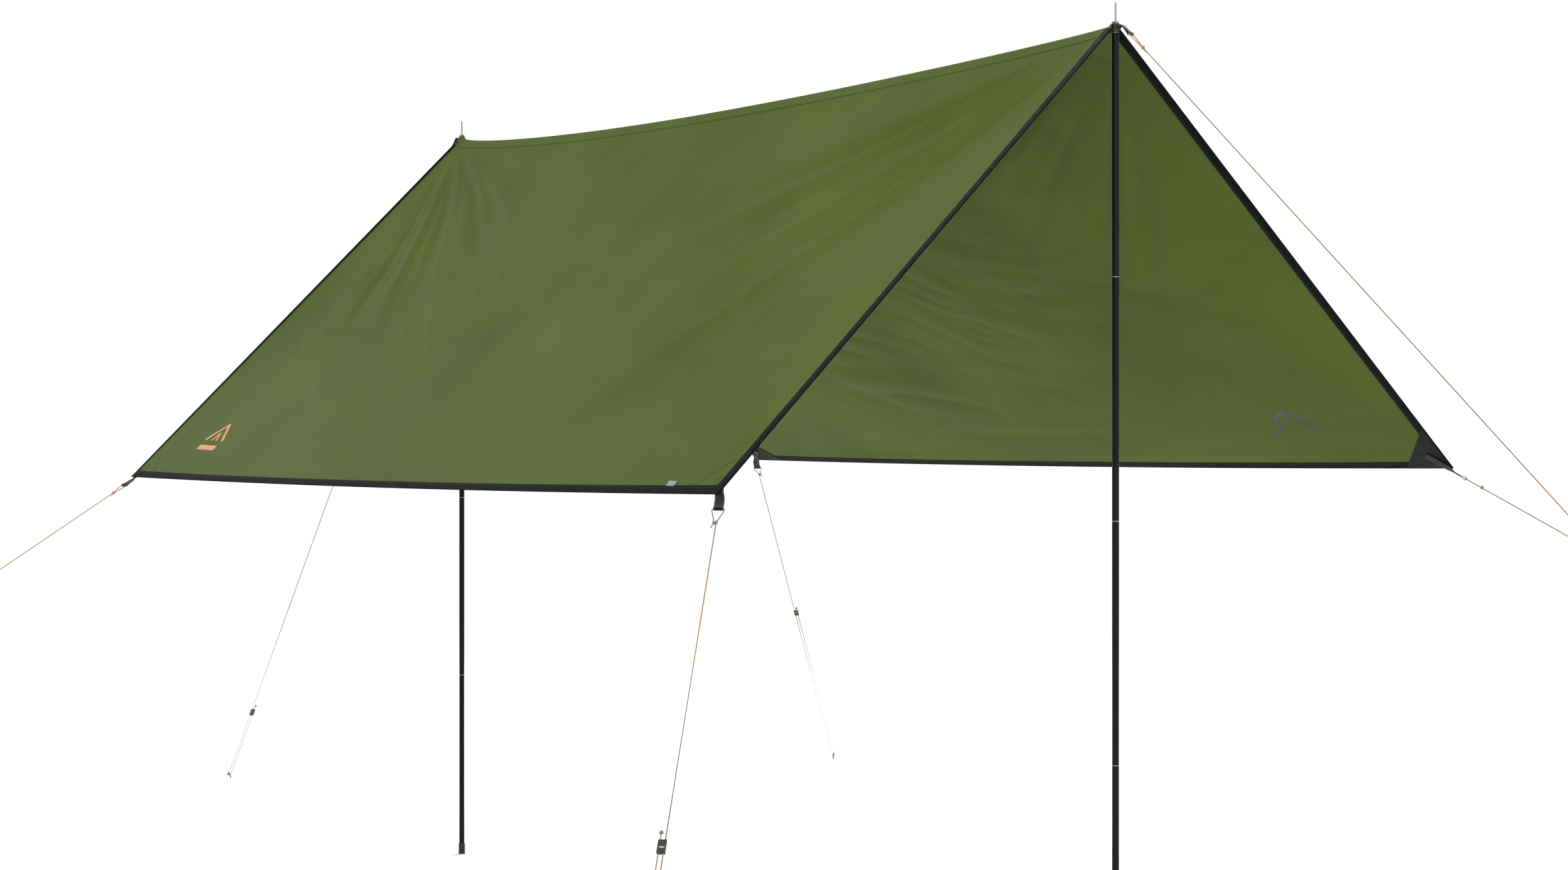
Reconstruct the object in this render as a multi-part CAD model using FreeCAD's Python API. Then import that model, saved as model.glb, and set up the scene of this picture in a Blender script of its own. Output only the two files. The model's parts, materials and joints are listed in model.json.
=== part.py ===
"""Ridge tarp shelter: a square coated sheet over two sectional poles, held out by six guy lines.

Frame: millimetres, +Z up, +Y along the ridge. The origin is on the ground, at the middle of the
front pole's foot. Left is -X and right is +X, seen by someone who looks in at the front.
"""
import FreeCAD, Part
import os
from math import pi, sin, sqrt
from FreeCAD import Vector

# ---- canopy ----
RIDGE_LENGTH = 3000.0         # peak to peak, along Y
PANEL_WIDTH = 1500.0          # ridge to eave, along the cloth
LEFT_EAVE_HEIGHT = 1174.0
RIGHT_EAVE_HEIGHT = 1212.0
RIDGE_SAG = 52.0              # deepest dip of the ridge below the line between its peaks
PANEL_SAG = 40.0              # dip at the middle of a panel; none at its taped ends
EAVE_SAG = 8.0                # dip of an eave half way along
CLOTH = 2.4                   # height of a panel's solid
SEAM_GAP = 1.0                # clear space between sewn neighbours
BINDING_WIDTH = 25.0          # folded edge tape
BINDING = 4.0                 # height of the tape's solid
BAND_WIDTH = 30.0             # ridge seam band, each side of the crest
BAND = 2.0                    # height of the band's solid

# ---- webbing at corners and peaks ----
TAB_WIDTH = 20.0
TAB_LENGTH = 38.0             # corner of the sheet to the middle of the eye
TAB_THICK = 3.6
EYE_CLEARANCE = 1.35          # cord to the eye that holds it, radial
EYE_WALL = 1.8
STRAP_LENGTH = 70.0           # tab's strap under the corner patch
PATCH_LEG = 150.0             # corner patch, along each edge
PEAK_PATCH_LENGTH = 130.0     # patch under a peak, along the ridge from the sheet's edge
PEAK_PATCH_DROP = 90.0        # and down each panel
PATCH = 1.6
PEAK_STRIP_WIDTH = 25.0
PEAK_STRIP_INSIDE = 85.0      # webbing that runs back over the ridge
PEAK_STRIP_OUTSIDE = 14.0     # webbing that stands past the pole before it turns down
PEAK_STRIP_THICK = 2.4
LABEL_LENGTH = 30.0
LABEL_HEIGHT = 12.0
LABEL_THICK = 1.2
LABEL_FROM_CORNER = 200.0

# ---- eyelets ----
EYELET_RADIUS = 9.0
EYELET_FLANGE = 1.0
EYELET_WALL = 1.2
EYELET_CLEARANCE = 0.4        # shank to eyelet, radial

# ---- poles ----
SECTIONS = 4
SECTION_LENGTH = 548.0        # length of a section that shows
TUBE_RADIUS = 8.0
TUBE_WALL = 1.0
SWAGE_LENGTH = 60.0           # narrowed end that plugs into the next section
SWAGE_CLEARANCE = 0.1         # radial
NECK = 5.0                    # where the tube narrows to the swage
JOINT_CHAMFER = 0.4
SOLE = 4.0                    # rubber under the lowest section
FOOT_WALL = 2.0
FOOT_HEIGHT = 32.0
FOOT_GROOVES = 3
COLLAR = 19.6                 # plug collar on top of the highest section, up to the eyelet
COLLAR_GAP = 0.4              # collar to eyelet
PLUG_DEPTH = 25.0
SPIKE_RADIUS = 2.0            # pin above its shoulder
SHANK_RADIUS = 2.6            # pin inside the plug and the eyelet
SHOULDER = 0.6                # shank above the eyelet
SPIKE_FREE = 46.0             # spike that stands above the webbing
SPIKE_TIP = 5.0

# ---- guy lines ----
CORD_RADIUS = 1.25
WIRE_RADIUS = 3.0             # peg wire
WRAP_CLEARANCE = 0.3          # cord to peg
PEG_LENGTH = 170.0
PEG_HOOK = 22.0
PEG_BEND = 7.0
PEG_TOP = 13.0                # straight wire above the loop, up to the bend's corner
PEG_POINT = 12.0
PEG_ABOVE = 13.0              # where the cord loops the peg, above the ground
KNOT_DROP = 46.0              # eye to knot, along the line
BIGHT_HALF = 13.5             # half width of the cord's loop through the eye
SLIDER_LENGTH = 32.0
SLIDER_WIDTH = 16.0
SLIDER_THICK = 7.0
SLIDER_WINDOW = 9.0           # opening in the middle that shows the cord
SLIDER_EDGE = 0.8
SLIDER_CORNER = 1.5
SLIDER_WALL = 1.4             # side wall at the window
SLIDER_CLEARANCE = 0.4        # cord to slider, radial
TAIL = 24.0                   # cord that stands out of the slider's upper end

UP = Vector(0, 0, 1)
PEAK_HEIGHT = SOLE + SECTIONS * SECTION_LENGTH + COLLAR + COLLAR_GAP  # crest of the cloth over a pole
FOOT_RADIUS = TUBE_RADIUS + FOOT_WALL
EYE_BORE = CORD_RADIUS + EYE_CLEARANCE
EYE_OUTER = EYE_BORE + EYE_WALL
WRAP_RADIUS = WIRE_RADIUS + CORD_RADIUS + WRAP_CLEARANCE
STRIP_LOW = PEAK_HEIGHT + SEAM_GAP
STRIP_TOP = STRIP_LOW + PEAK_STRIP_THICK

# Each line: where it is tied, where its peg stands from there on the ground, slider to peg.
LINES = {
    "front_ridge": {"reach": (810.0, -1887.0), "slider_up": 900.0},
    "rear_ridge": {"reach": (250.0, 2250.0), "slider_up": 365.0},
    "front_left": {"reach": (-1023.0, -1178.0), "slider_up": 942.0},
    "front_right": {"reach": (1340.0, -1582.0), "slider_up": 900.0},
    "rear_left": {"reach": (-1029.0, 1783.0), "slider_up": 900.0},
    "rear_right": {"reach": (1370.0, 1440.0), "slider_up": 1235.0},
}

os.makedirs("parts", exist_ok=True)
NODES = {}


def keep(name, shape):
    """Write one sub-part, after a check that it is closed and sound."""
    if not shape.isValid() or shape.Volume <= 0:
        raise ValueError(name + " is not a sound solid")
    NODES[name] = shape
    shape.exportStep("parts/" + name + ".step")
    print(name, len(shape.Solids), "solid(s)", round(shape.Volume), "mm3")


def unit(v):
    """The direction of v, as a new vector."""
    return Vector(v).normalize()


# ---------------------------------------------------------------- canopy surface
EAVE_HEIGHT = {-1: LEFT_EAVE_HEIGHT, 1: RIGHT_EAVE_HEIGHT}


def eave_reach(side):
    """Distance on plan from the ridge to an eave, from the panel's width and its fall."""
    fall = PEAK_HEIGHT - EAVE_HEIGHT[side]
    return sqrt(PANEL_WIDTH ** 2 - fall ** 2)


def crest(s):
    """Height of the ridge at s, 0 at the front peak and 1 at the rear one."""
    return PEAK_HEIGHT - RIDGE_SAG * sqrt(max(0.0, sin(pi * s ** 1.4)))


def cloth(side, s, t):
    """A point on the upper face of a panel: s along the ridge, t from ridge (0) to eave (1)."""
    eave = EAVE_HEIGHT[side] - EAVE_SAG * 4 * s * (1 - s)
    bow = 1 - (1 - 4 * s * (1 - s)) ** 2
    z = crest(s) * (1 - t) + eave * t - PANEL_SAG * bow * 4 * t * (1 - t)
    return Vector(side * eave_reach(side) * t, RIDGE_LENGTH * s, z)


def sheet(side, s0, s1, t0, t1, height, drop=0.0, along=17, across=5):
    """A thin solid of the cloth's shape between two places along and two across the panel."""
    ribs = []
    for i in range(along):
        s = s0 + (s1 - s0) * i / (along - 1)
        top = [cloth(side, s, t0 + (t1 - t0) * j / (across - 1)) - UP * drop for j in range(across)]
        low = [p - UP * height for p in top]
        upper = Part.BSplineCurve()
        upper.interpolate(top)
        lower = Part.BSplineCurve()
        lower.interpolate(low)
        edges = [
            upper.toShape(),
            Part.LineSegment(top[-1], low[-1]).toShape(),
            lower.toShape(),
            Part.LineSegment(low[0], top[0]).toShape(),
        ]
        ribs.append(Part.Wire(Part.__sortEdges__(edges)))
    return Part.makeLoft(ribs, True, False)


def patch_frame(side, s, t, s_step, t_step):
    """A place on the cloth with its directions along the ridge, up or down the slope, and out."""
    at = cloth(side, s, t)
    along = unit(cloth(side, s + s_step, t) - at)
    across = unit(cloth(side, s, t + t_step) - at)
    out = unit(along.cross(across))
    return at, along, across, out if out.z > 0 else out * -1


# ---------------------------------------------------------------- small shapes
def box_on(centre, x_dir, y_dir, size):
    """A block of size (x, y, z) about a centre, turned to two directions at right angles."""
    z_dir = x_dir.cross(y_dir)
    block = Part.makeBox(size[0], size[1], size[2], Vector(-size[0] / 2, -size[1] / 2, -size[2] / 2))
    block.Placement = FreeCAD.Placement(centre, FreeCAD.Rotation(x_dir, y_dir, z_dir))
    return block


def tube_along(points, radius, radii=None):
    """A round tube along straight runs joined by tangent arcs; the arcs' radii are printed."""
    radii = radii or {}
    edges = []
    start = points[0]
    used = []
    length = 0.0
    for i in range(1, len(points) - 1):
        into = unit(points[i] - points[i - 1])
        out = unit(points[i + 1] - points[i])
        turn = into.getAngle(out)
        half_tan = sin(turn / 2) / sqrt(1 - sin(turn / 2) ** 2)
        run = min((points[i] - points[i - 1]).Length, (points[i + 1] - points[i]).Length)
        bend = radii.get(i, 0.45 * run / half_tan)
        cut = bend * half_tan
        a = points[i] - into * cut
        b = points[i] + out * cut
        centre = a + unit(out - into * out.dot(into)) * bend
        middle = centre + unit(points[i] - centre) * bend
        if (a - start).Length > 1e-6:
            edges.append(Part.LineSegment(start, a).toShape())
            length += (a - start).Length
        edges.append(Part.Arc(a, middle, b).toShape())
        length += bend * turn
        used.append(round(bend, 1))
        start = b
    edges.append(Part.LineSegment(start, points[-1]).toShape())
    length += (points[-1] - start).Length
    path = Part.Wire(edges)
    ring = Part.Wire(Part.makeCircle(radius, points[0], unit(points[1] - points[0])))
    solid = path.makePipeShell([ring], True, False)
    expected = pi * radius ** 2 * length
    return solid, used, length, solid.Volume / expected


# ---------------------------------------------------------------- poles
def pole(name, y):
    """One pole: rubber foot, plugged tube sections, and the plug with the spike."""
    bore = TUBE_RADIUS - TUBE_WALL
    swage = bore - SWAGE_CLEARANCE
    for i in range(SECTIONS):
        low = SOLE + i * SECTION_LENGTH
        tube = Part.makeCylinder(TUBE_RADIUS, SECTION_LENGTH, Vector(0, y, low))
        rims = [e for e in tube.Edges if e.Curve.TypeId == "Part::GeomCircle"]
        tube = tube.makeChamfer(JOINT_CHAMFER, rims)
        hollow = Part.makeCylinder(bore, SECTION_LENGTH, Vector(0, y, low))
        if i < SECTIONS - 1:
            neck = low + SECTION_LENGTH - NECK
            tube = tube.fuse(Part.makeCylinder(swage, SWAGE_LENGTH, Vector(0, y, low + SECTION_LENGTH)))
            tube = tube.cut(Part.makeCylinder(swage - TUBE_WALL, SWAGE_LENGTH + NECK, Vector(0, y, neck)))
            hollow = Part.makeCylinder(bore, SECTION_LENGTH - NECK, Vector(0, y, low))
        tube = tube.cut(hollow)
        keep(name + "_pole_section_" + str(i + 1), tube.removeSplitter())

    foot = Part.makeCylinder(FOOT_RADIUS, FOOT_HEIGHT, Vector(0, y, 0))
    rim = [e for e in foot.Edges if e.Curve.TypeId == "Part::GeomCircle"]
    foot = foot.makeFillet(1.0, rim)
    foot = foot.cut(Part.makeCylinder(TUBE_RADIUS, FOOT_HEIGHT, Vector(0, y, SOLE)))
    pitch = (FOOT_HEIGHT - SOLE) / (FOOT_GROOVES + 1)
    for i in range(FOOT_GROOVES):
        groove = Part.makeTorus(FOOT_RADIUS + 0.3, 1.0, Vector(0, y, SOLE + pitch * (i + 1)))
        foot = foot.cut(groove)
    keep(name + "_pole_foot", foot)

    top = SOLE + SECTIONS * SECTION_LENGTH
    spike_end = STRIP_TOP + SPIKE_FREE
    collar = Part.makeCylinder(TUBE_RADIUS, COLLAR, Vector(0, y, top))
    collar = collar.makeChamfer(1.0, [e for e in collar.Edges
                                      if e.Curve.TypeId == "Part::GeomCircle" and e.BoundBox.ZMin > top])
    plug = Part.makeCylinder(bore - SWAGE_CLEARANCE, PLUG_DEPTH, Vector(0, y, top - PLUG_DEPTH))
    low = top - PLUG_DEPTH + 5
    shoulder = STRIP_TOP + EYELET_FLANGE + SHOULDER
    socket = Part.makeCylinder(SHANK_RADIUS, PLUG_DEPTH + COLLAR, Vector(0, y, low))
    keep(name + "_pole_plug", collar.fuse(plug).cut(socket).removeSplitter())
    shank = Part.makeCylinder(SHANK_RADIUS, shoulder - low, Vector(0, y, low))
    pin = Part.makeCylinder(SPIKE_RADIUS, spike_end - SPIKE_TIP - shoulder, Vector(0, y, shoulder))
    tip = Part.makeCone(SPIKE_RADIUS, SPIKE_RADIUS * 0.35, SPIKE_TIP, Vector(0, y, spike_end - SPIKE_TIP))
    keep(name + "_pole_spike", shank.fuse(pin).fuse(tip).removeSplitter())


# ---------------------------------------------------------------- canopy pieces
S_BIND = BINDING_WIDTH / RIDGE_LENGTH
T_BIND = BINDING_WIDTH / PANEL_WIDTH
S_GAP = SEAM_GAP / RIDGE_LENGTH
T_GAP = SEAM_GAP / PANEL_WIDTH
T_CREST = 0.5 * SEAM_GAP / PANEL_WIDTH


def spike_clearance(y):
    """The round hole that the eyelet and the pole's end need through cloth and tape."""
    return Part.makeCylinder(EYELET_RADIUS + SEAM_GAP, 400, Vector(0, y, PEAK_HEIGHT - 200))


def canopy():
    """Both panels, the ridge band over their seam, and the tape round the sheet's edge."""
    for side, word in ((-1, "left"), (1, "right")):
        body = sheet(side, S_BIND + S_GAP, 1 - S_BIND - S_GAP, T_CREST, 1 - T_BIND - T_GAP, CLOTH)
        for y in (0.0, RIDGE_LENGTH):
            body = body.cut(spike_clearance(y))
        keep(word + "_panel", body)
        keep(word + "_eave_binding",
             sheet(side, S_BIND + S_GAP, 1 - S_BIND - S_GAP, 1 - T_BIND, 1, BINDING, along=5, across=3))
        for end, s0 in (("front", 0.0), ("rear", 1 - S_BIND)):
            tape = sheet(side, s0, s0 + S_BIND, T_CREST, 1, BINDING, along=2)
            y = 0.0 if end == "front" else RIDGE_LENGTH
            keep(end + "_" + word + "_binding", tape.cut(spike_clearance(y)))


def band():
    """The strip of cloth sewn over the ridge seam, between the two peak strips."""
    s0 = (PEAK_STRIP_INSIDE + SEAM_GAP) / RIDGE_LENGTH
    halves = [sheet(side, s0, 1 - s0, 0, BAND_WIDTH / PANEL_WIDTH, BAND, -BAND - 2 * SEAM_GAP, across=3)
              for side in (-1, 1)]
    keep("ridge_band", halves[0].fuse(halves[1]))


def corner_patches():
    """A three-cornered patch of heavy cloth under each corner of the sheet."""
    for side, word in ((-1, "left"), (1, "right")):
        for end, s, step in (("front", 0.0, 0.04), ("rear", 1.0, -0.04)):
            at, along, up_slope, out = patch_frame(side, s, 1.0, step, -0.08)
            low = at - out * (BINDING + SEAM_GAP)
            inset = (along + up_slope) * SEAM_GAP
            corners = [low + inset, low + along * PATCH_LEG, low + up_slope * PATCH_LEG, low + inset]
            face = Part.Face(Part.makePolygon(corners))
            keep(end + "_" + word + "_corner_patch", face.extrude(out * -PATCH))


def peak_patches():
    """Two patches under each peak, one on each side of the ridge, round the pole's end."""
    inner = S_BIND + S_GAP
    outer = PEAK_PATCH_LENGTH / RIDGE_LENGTH
    for end, s0, s1, y in (("front", inner, outer, 0.0), ("rear", 1 - outer, 1 - inner, RIDGE_LENGTH)):
        drop = PEAK_PATCH_DROP / PANEL_WIDTH
        below = CLOTH + 3 * SEAM_GAP
        pair = [sheet(side, s0, s1, 2 * T_GAP, drop, PATCH, below, 4, 3) for side in (-1, 1)]
        hole = Part.makeCylinder(TUBE_RADIUS + EYELET_RADIUS, 400, Vector(0, y, PEAK_HEIGHT - 200))
        keep(end + "_peak_patch", Part.makeCompound([p.cut(hole) for p in pair]))


def label():
    """A blank folded tag, sewn in above the left eave's tape near the front corner."""
    s = LABEL_FROM_CORNER / RIDGE_LENGTH
    at, along, up_slope, out = patch_frame(-1, s, 1 - T_BIND, 0.01, -0.02)
    centre = at + out * (SEAM_GAP + LABEL_THICK / 2) + up_slope * LABEL_HEIGHT / 2
    keep("care_label", box_on(centre, along, up_slope, (LABEL_LENGTH, LABEL_HEIGHT, LABEL_THICK)))


def eyelets():
    """A rolled metal eyelet through the webbing at each peak; the pole's spike passes through it."""
    bore = SHANK_RADIUS + EYELET_CLEARANCE
    for end, y in (("front", 0.0), ("rear", RIDGE_LENGTH)):
        low = STRIP_LOW - EYELET_FLANGE
        ring = Part.makeCylinder(bore + EYELET_WALL, PEAK_STRIP_THICK + 2 * EYELET_FLANGE, Vector(0, y, low))
        for z in (low, STRIP_TOP):
            ring = ring.fuse(Part.makeCylinder(EYELET_RADIUS, EYELET_FLANGE, Vector(0, y, z)))
        ring = ring.cut(Part.makeCylinder(bore, 20, Vector(0, y, low - 5)))
        keep(end + "_eyelet", ring.removeSplitter())


# ---------------------------------------------------------------- guy lines
def eye_on(centre, across, width):
    """The rolled end of a webbing loop, with the hole that the cord goes through."""
    low = centre - across * width / 2
    outer = Part.makeCylinder(EYE_OUTER, width, low, across)
    return outer, Part.makeCylinder(EYE_BORE, width, low, across)


def tie_point(name):
    """The middle of the webbing where a line's tab leaves the sheet."""
    if name == "front_ridge":
        return Vector(0, -PEAK_STRIP_OUTSIDE, STRIP_LOW + PEAK_STRIP_THICK / 2)
    if name == "rear_ridge":
        return Vector(0, RIDGE_LENGTH + PEAK_STRIP_OUTSIDE, STRIP_LOW + PEAK_STRIP_THICK / 2)
    side = -1 if name.endswith("left") else 1
    s = 0.0 if name.startswith("front") else 1.0
    at, _, _, out = patch_frame(side, s, 1.0, 0.04 - 0.08 * s, -0.08)
    return at - out * (BINDING + PATCH + 2 * SEAM_GAP + TAB_THICK / 2)


def line_frame(name):
    """Where a line starts, its direction to the peg, level across it, and its length to the peg."""
    tie = tie_point(name)
    corner_x = {"ridge": 0.0, "left": -eave_reach(-1), "right": eave_reach(1)}[name.split("_")[1]]
    corner_y = 0.0 if name.startswith("front") else RIDGE_LENGTH
    dx, dy = LINES[name]["reach"]
    ground = Vector(corner_x + dx, corner_y + dy, PEG_ABOVE)
    down = unit(ground - tie)
    across = unit(down.cross(UP))
    eye = tie + down * TAB_LENGTH
    return eye, down, across, (ground - eye).Length


def corner_tab(name):
    """A doubled webbing loop: a strap under the corner patch, and an eye that holds the cord."""
    side = -1 if name.endswith("left") else 1
    s = 0.0 if name.startswith("front") else 1.0
    _, along, up_slope, out = patch_frame(side, s, 1.0, 0.04 - 0.08 * s, -0.08)
    eye, down, across, _ = line_frame(name)
    tie = tie_point(name)
    inward = unit(along + up_slope)
    strap = box_on(tie + inward * STRAP_LENGTH / 2, inward, unit(inward.cross(out)),
                   (STRAP_LENGTH, TAB_WIDTH, TAB_THICK))
    arm = box_on(tie + down * TAB_LENGTH / 2, down, across, (TAB_LENGTH, TAB_WIDTH, TAB_THICK))
    outer, bore = eye_on(eye, across, TAB_WIDTH)
    keep(name + "_tab", strap.fuse(arm).fuse(outer).cut(bore).removeSplitter())


def peak_strip(end, outward):
    """The webbing over each peak: back along the ridge, round the spike, and down to its eye."""
    name = end + "_ridge"
    eye, down, across, _ = line_frame(name)
    tie = tie_point(name)
    y = 0.0 if end == "front" else RIDGE_LENGTH
    length = PEAK_STRIP_INSIDE + PEAK_STRIP_OUTSIDE
    inset = outward * (PEAK_STRIP_OUTSIDE - PEAK_STRIP_INSIDE) / 2
    middle = Vector(0, y + inset, STRIP_LOW + PEAK_STRIP_THICK / 2)
    flat = box_on(middle, Vector(0, 1, 0), Vector(-1, 0, 0), (length, PEAK_STRIP_WIDTH, PEAK_STRIP_THICK))
    arm = box_on(tie + down * TAB_LENGTH / 2, down, across, (TAB_LENGTH, TAB_WIDTH, PEAK_STRIP_THICK))
    outer, bore = eye_on(eye, across, TAB_WIDTH)
    hole = Part.makeCylinder(SHANK_RADIUS + EYELET_CLEARANCE + EYELET_WALL, 40, Vector(0, y, STRIP_LOW - 20))
    keep(end + "_peak_strip", flat.fuse(arm).fuse(outer).cut(bore).cut(hole).removeSplitter())


def guy_line(name):
    """The cord: through the eye and back to its knot, down, round the peg and up to the slider."""
    eye, down, across, reach = line_frame(name)

    def at(aside, along):
        return eye + across * aside + down * along

    strand = 2 * WRAP_RADIUS
    end = reach - LINES[name]["slider_up"] - SLIDER_LENGTH / 2 - TAIL
    pair = 2 * CORD_RADIUS + 0.9
    points = [
        at(pair + 6, KNOT_DROP + 16),
        at(pair, KNOT_DROP + 0.5),
        at(BIGHT_HALF, 5),
        at(BIGHT_HALF - 3, 0),
        at(3 - BIGHT_HALF, 0),
        at(-BIGHT_HALF, 5),
        at(0, KNOT_DROP),
        at(0, reach + WRAP_RADIUS),
        at(strand, reach + WRAP_RADIUS),
        at(strand, end),
    ]
    solid, radii, length, ratio = tube_along(points, CORD_RADIUS, {7: WRAP_RADIUS, 8: WRAP_RADIUS})
    print(name, "cord", round(length), "mm, radii", radii, "volume ratio", round(ratio, 4))
    keep(name + "_guy_line", solid)


def slider(name):
    """A plastic line tensioner: two bores for the two strands, and a window between its ends."""
    eye, down, across, reach = line_frame(name)
    middle = eye + down * (reach - LINES[name]["slider_up"]) + across * WRAP_RADIUS
    body = Part.makeBox(SLIDER_LENGTH, SLIDER_WIDTH, SLIDER_THICK,
                        Vector(-SLIDER_LENGTH / 2, -SLIDER_WIDTH / 2, -SLIDER_THICK / 2))
    corners = [e for e in body.Edges if abs(e.BoundBox.ZLength - SLIDER_THICK) < 1e-6]
    body = body.makeFillet(SLIDER_CORNER, corners)
    rims = [e for f in body.Faces if f.BoundBox.ZLength < 1e-6 for e in f.Edges]
    body = body.makeFillet(SLIDER_EDGE, rims)
    bore = CORD_RADIUS + SLIDER_CLEARANCE
    for aside in (-WRAP_RADIUS, WRAP_RADIUS):
        body = body.cut(Part.makeCylinder(bore, 2 * SLIDER_LENGTH, Vector(-SLIDER_LENGTH, aside, 0),
                                          Vector(1, 0, 0)))
    window = SLIDER_WIDTH - 2 * SLIDER_WALL
    body = body.cut(Part.makeBox(SLIDER_WINDOW, window, SLIDER_THICK * 2,
                                 Vector(-SLIDER_WINDOW / 2, -window / 2, -SLIDER_THICK)))
    body.Placement = FreeCAD.Placement(middle, FreeCAD.Rotation(down, across, down.cross(across)))
    keep(name + "_slider", body)


def peg(name):
    """A steel wire peg, driven in at right angles to its line, with its hook turned away."""
    eye, down, across, reach = line_frame(name)
    loop = eye + down * reach + across * WRAP_RADIUS
    up = unit(UP - down * UP.dot(down))
    point = loop - up * (PEG_LENGTH - PEG_POINT)
    knee = loop + up * PEG_TOP
    wire, _, _, _ = tube_along([point, knee, knee + down * PEG_HOOK], WIRE_RADIUS, {1: PEG_BEND})
    cone = Part.makeCone(0.6, WIRE_RADIUS, PEG_POINT, point - up * PEG_POINT, up)
    keep(name + "_peg", wire.fuse(cone).removeSplitter())


canopy()
band()
corner_patches()
peak_patches()
label()
eyelets()
pole("front", 0.0)
pole("rear", RIDGE_LENGTH)
peak_strip("front", -1)
peak_strip("rear", 1)
for line in LINES:
    if not line.endswith("ridge"):
        corner_tab(line)
    guy_line(line)
    slider(line)
    peg(line)
print(len(NODES), "nodes")
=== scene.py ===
"""Ridge tarp shelter: the cloth, webbing, tapes, cords and finishes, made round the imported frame."""

import json
from math import atan2, cos, exp, hypot, pi, radians, sin, sqrt

import bpy
import bmesh
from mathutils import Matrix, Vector, noise

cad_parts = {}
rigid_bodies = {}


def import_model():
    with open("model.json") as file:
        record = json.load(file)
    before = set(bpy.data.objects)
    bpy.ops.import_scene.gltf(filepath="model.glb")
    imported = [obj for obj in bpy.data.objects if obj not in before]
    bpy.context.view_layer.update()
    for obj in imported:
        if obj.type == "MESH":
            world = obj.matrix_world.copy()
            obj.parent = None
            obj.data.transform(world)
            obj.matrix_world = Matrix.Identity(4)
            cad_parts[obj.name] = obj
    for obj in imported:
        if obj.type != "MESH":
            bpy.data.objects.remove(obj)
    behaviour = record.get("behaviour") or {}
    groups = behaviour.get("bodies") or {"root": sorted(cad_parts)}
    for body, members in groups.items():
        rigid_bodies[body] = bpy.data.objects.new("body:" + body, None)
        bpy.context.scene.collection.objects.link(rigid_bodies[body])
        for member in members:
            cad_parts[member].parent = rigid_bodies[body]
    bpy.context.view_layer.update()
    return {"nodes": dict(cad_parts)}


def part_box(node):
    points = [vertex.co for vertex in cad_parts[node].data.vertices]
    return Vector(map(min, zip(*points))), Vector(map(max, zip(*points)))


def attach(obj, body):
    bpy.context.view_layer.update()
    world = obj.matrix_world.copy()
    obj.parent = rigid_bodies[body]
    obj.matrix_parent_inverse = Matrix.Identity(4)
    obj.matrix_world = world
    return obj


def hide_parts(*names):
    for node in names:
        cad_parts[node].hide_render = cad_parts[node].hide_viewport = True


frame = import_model()

bl_info = {
    "name": "Tarp Shelter",
    "version": (1, 0, 0),
    "blender": (4, 5, 0),
    "location": "3D View > Sidebar > Tarp",
    "description": "Builds a pitched ridge tarp with its poles, guy lines and pegs",
    "category": "Object",
}

MM = 0.001
BODY = "shelter"
UP = Vector((0, 0, 1))
EAVE = {-1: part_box("front_left_binding")[0].z + 4 * MM, 1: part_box("front_right_binding")[0].z + 4 * MM}
REACH = {-1: -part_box("left_eave_binding")[0].x, 1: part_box("right_eave_binding")[1].x}
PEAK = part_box("front_peak_strip")[1].z - 3.4 * MM
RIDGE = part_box("rear_pole_foot")[0].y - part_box("front_pole_foot")[0].y
SIDES = ((-1, "left"), (1, "right"))
# Each end's place along the ridge, from 0 to 1, and the way inward from it.
ENDS = {"front": (0.0, 1), "rear": (1.0, -1)}

# Each guy line: middle of its eye, direction to the peg, eye to peg, slider to peg (metres).
LINES = {
    "front_ridge": ((0.01024, -0.03769, 2.19031), (0.269594, -0.623394, -0.733961), 2.96652, 0.900),
    "rear_ridge": ((0.00302, 3.04097, 2.19160), (0.079355, 0.709748, -0.699972), 3.11241, 0.365),
    "front_left": ((-1.09259, -0.02309, 1.14468), (-0.529553, -0.605885, -0.593698), 1.90615, 0.942),
    "front_right": ((1.12951, -0.02517, 1.18610), (0.562132, -0.660520, -0.497716), 2.35697, 0.900),
    "rear_left": ((-1.08912, 3.02874, 1.14868), (-0.438240, 0.754543, -0.488478), 2.32493, 0.900),
    "rear_right": ((1.13068, 3.02364, 1.18550), (0.592895, 0.620309, -0.513510), 2.28331, 1.235),
}


# ---------------------------------------------------------------- settings
class TARP_PG_canopy(bpy.types.PropertyGroup):
    width: bpy.props.FloatProperty(
        name="Panel width", description="Ridge to eave, along the cloth", default=1.5, unit="LENGTH")
    ridge_sag: bpy.props.FloatProperty(
        name="Ridge sag", description="Dip of the ridge between the peaks", default=0.052, unit="LENGTH")
    panel_sag: bpy.props.FloatProperty(
        name="Panel sag", description="Dip at the middle of a panel", default=0.040, unit="LENGTH")
    eave_sag: bpy.props.FloatProperty(
        name="Eave sag", description="Dip of an eave half way along", default=0.008, unit="LENGTH")
    cloth: bpy.props.FloatProperty(
        name="Cloth", description="Thickness of the coated cloth", default=0.0006, unit="LENGTH")
    folds: bpy.props.FloatProperty(
        name="Folds", description="Depth of the folds, as a share", default=1.0, min=0, max=2)
    tape: bpy.props.FloatProperty(
        name="Edge tape", description="Width of the folded edge tape on each face", default=0.025,
        unit="LENGTH")
    tape_turn: bpy.props.FloatProperty(
        name="Rear tape, outside", description="Width of the rear tape on the outer face", default=0.008,
        unit="LENGTH")
    band: bpy.props.FloatProperty(
        name="Seam band", description="Ridge band, each side of the crest", default=0.038, unit="LENGTH")
    patch: bpy.props.FloatProperty(
        name="Corner patch", description="Leg of a corner patch", default=0.150, unit="LENGTH")


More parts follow.
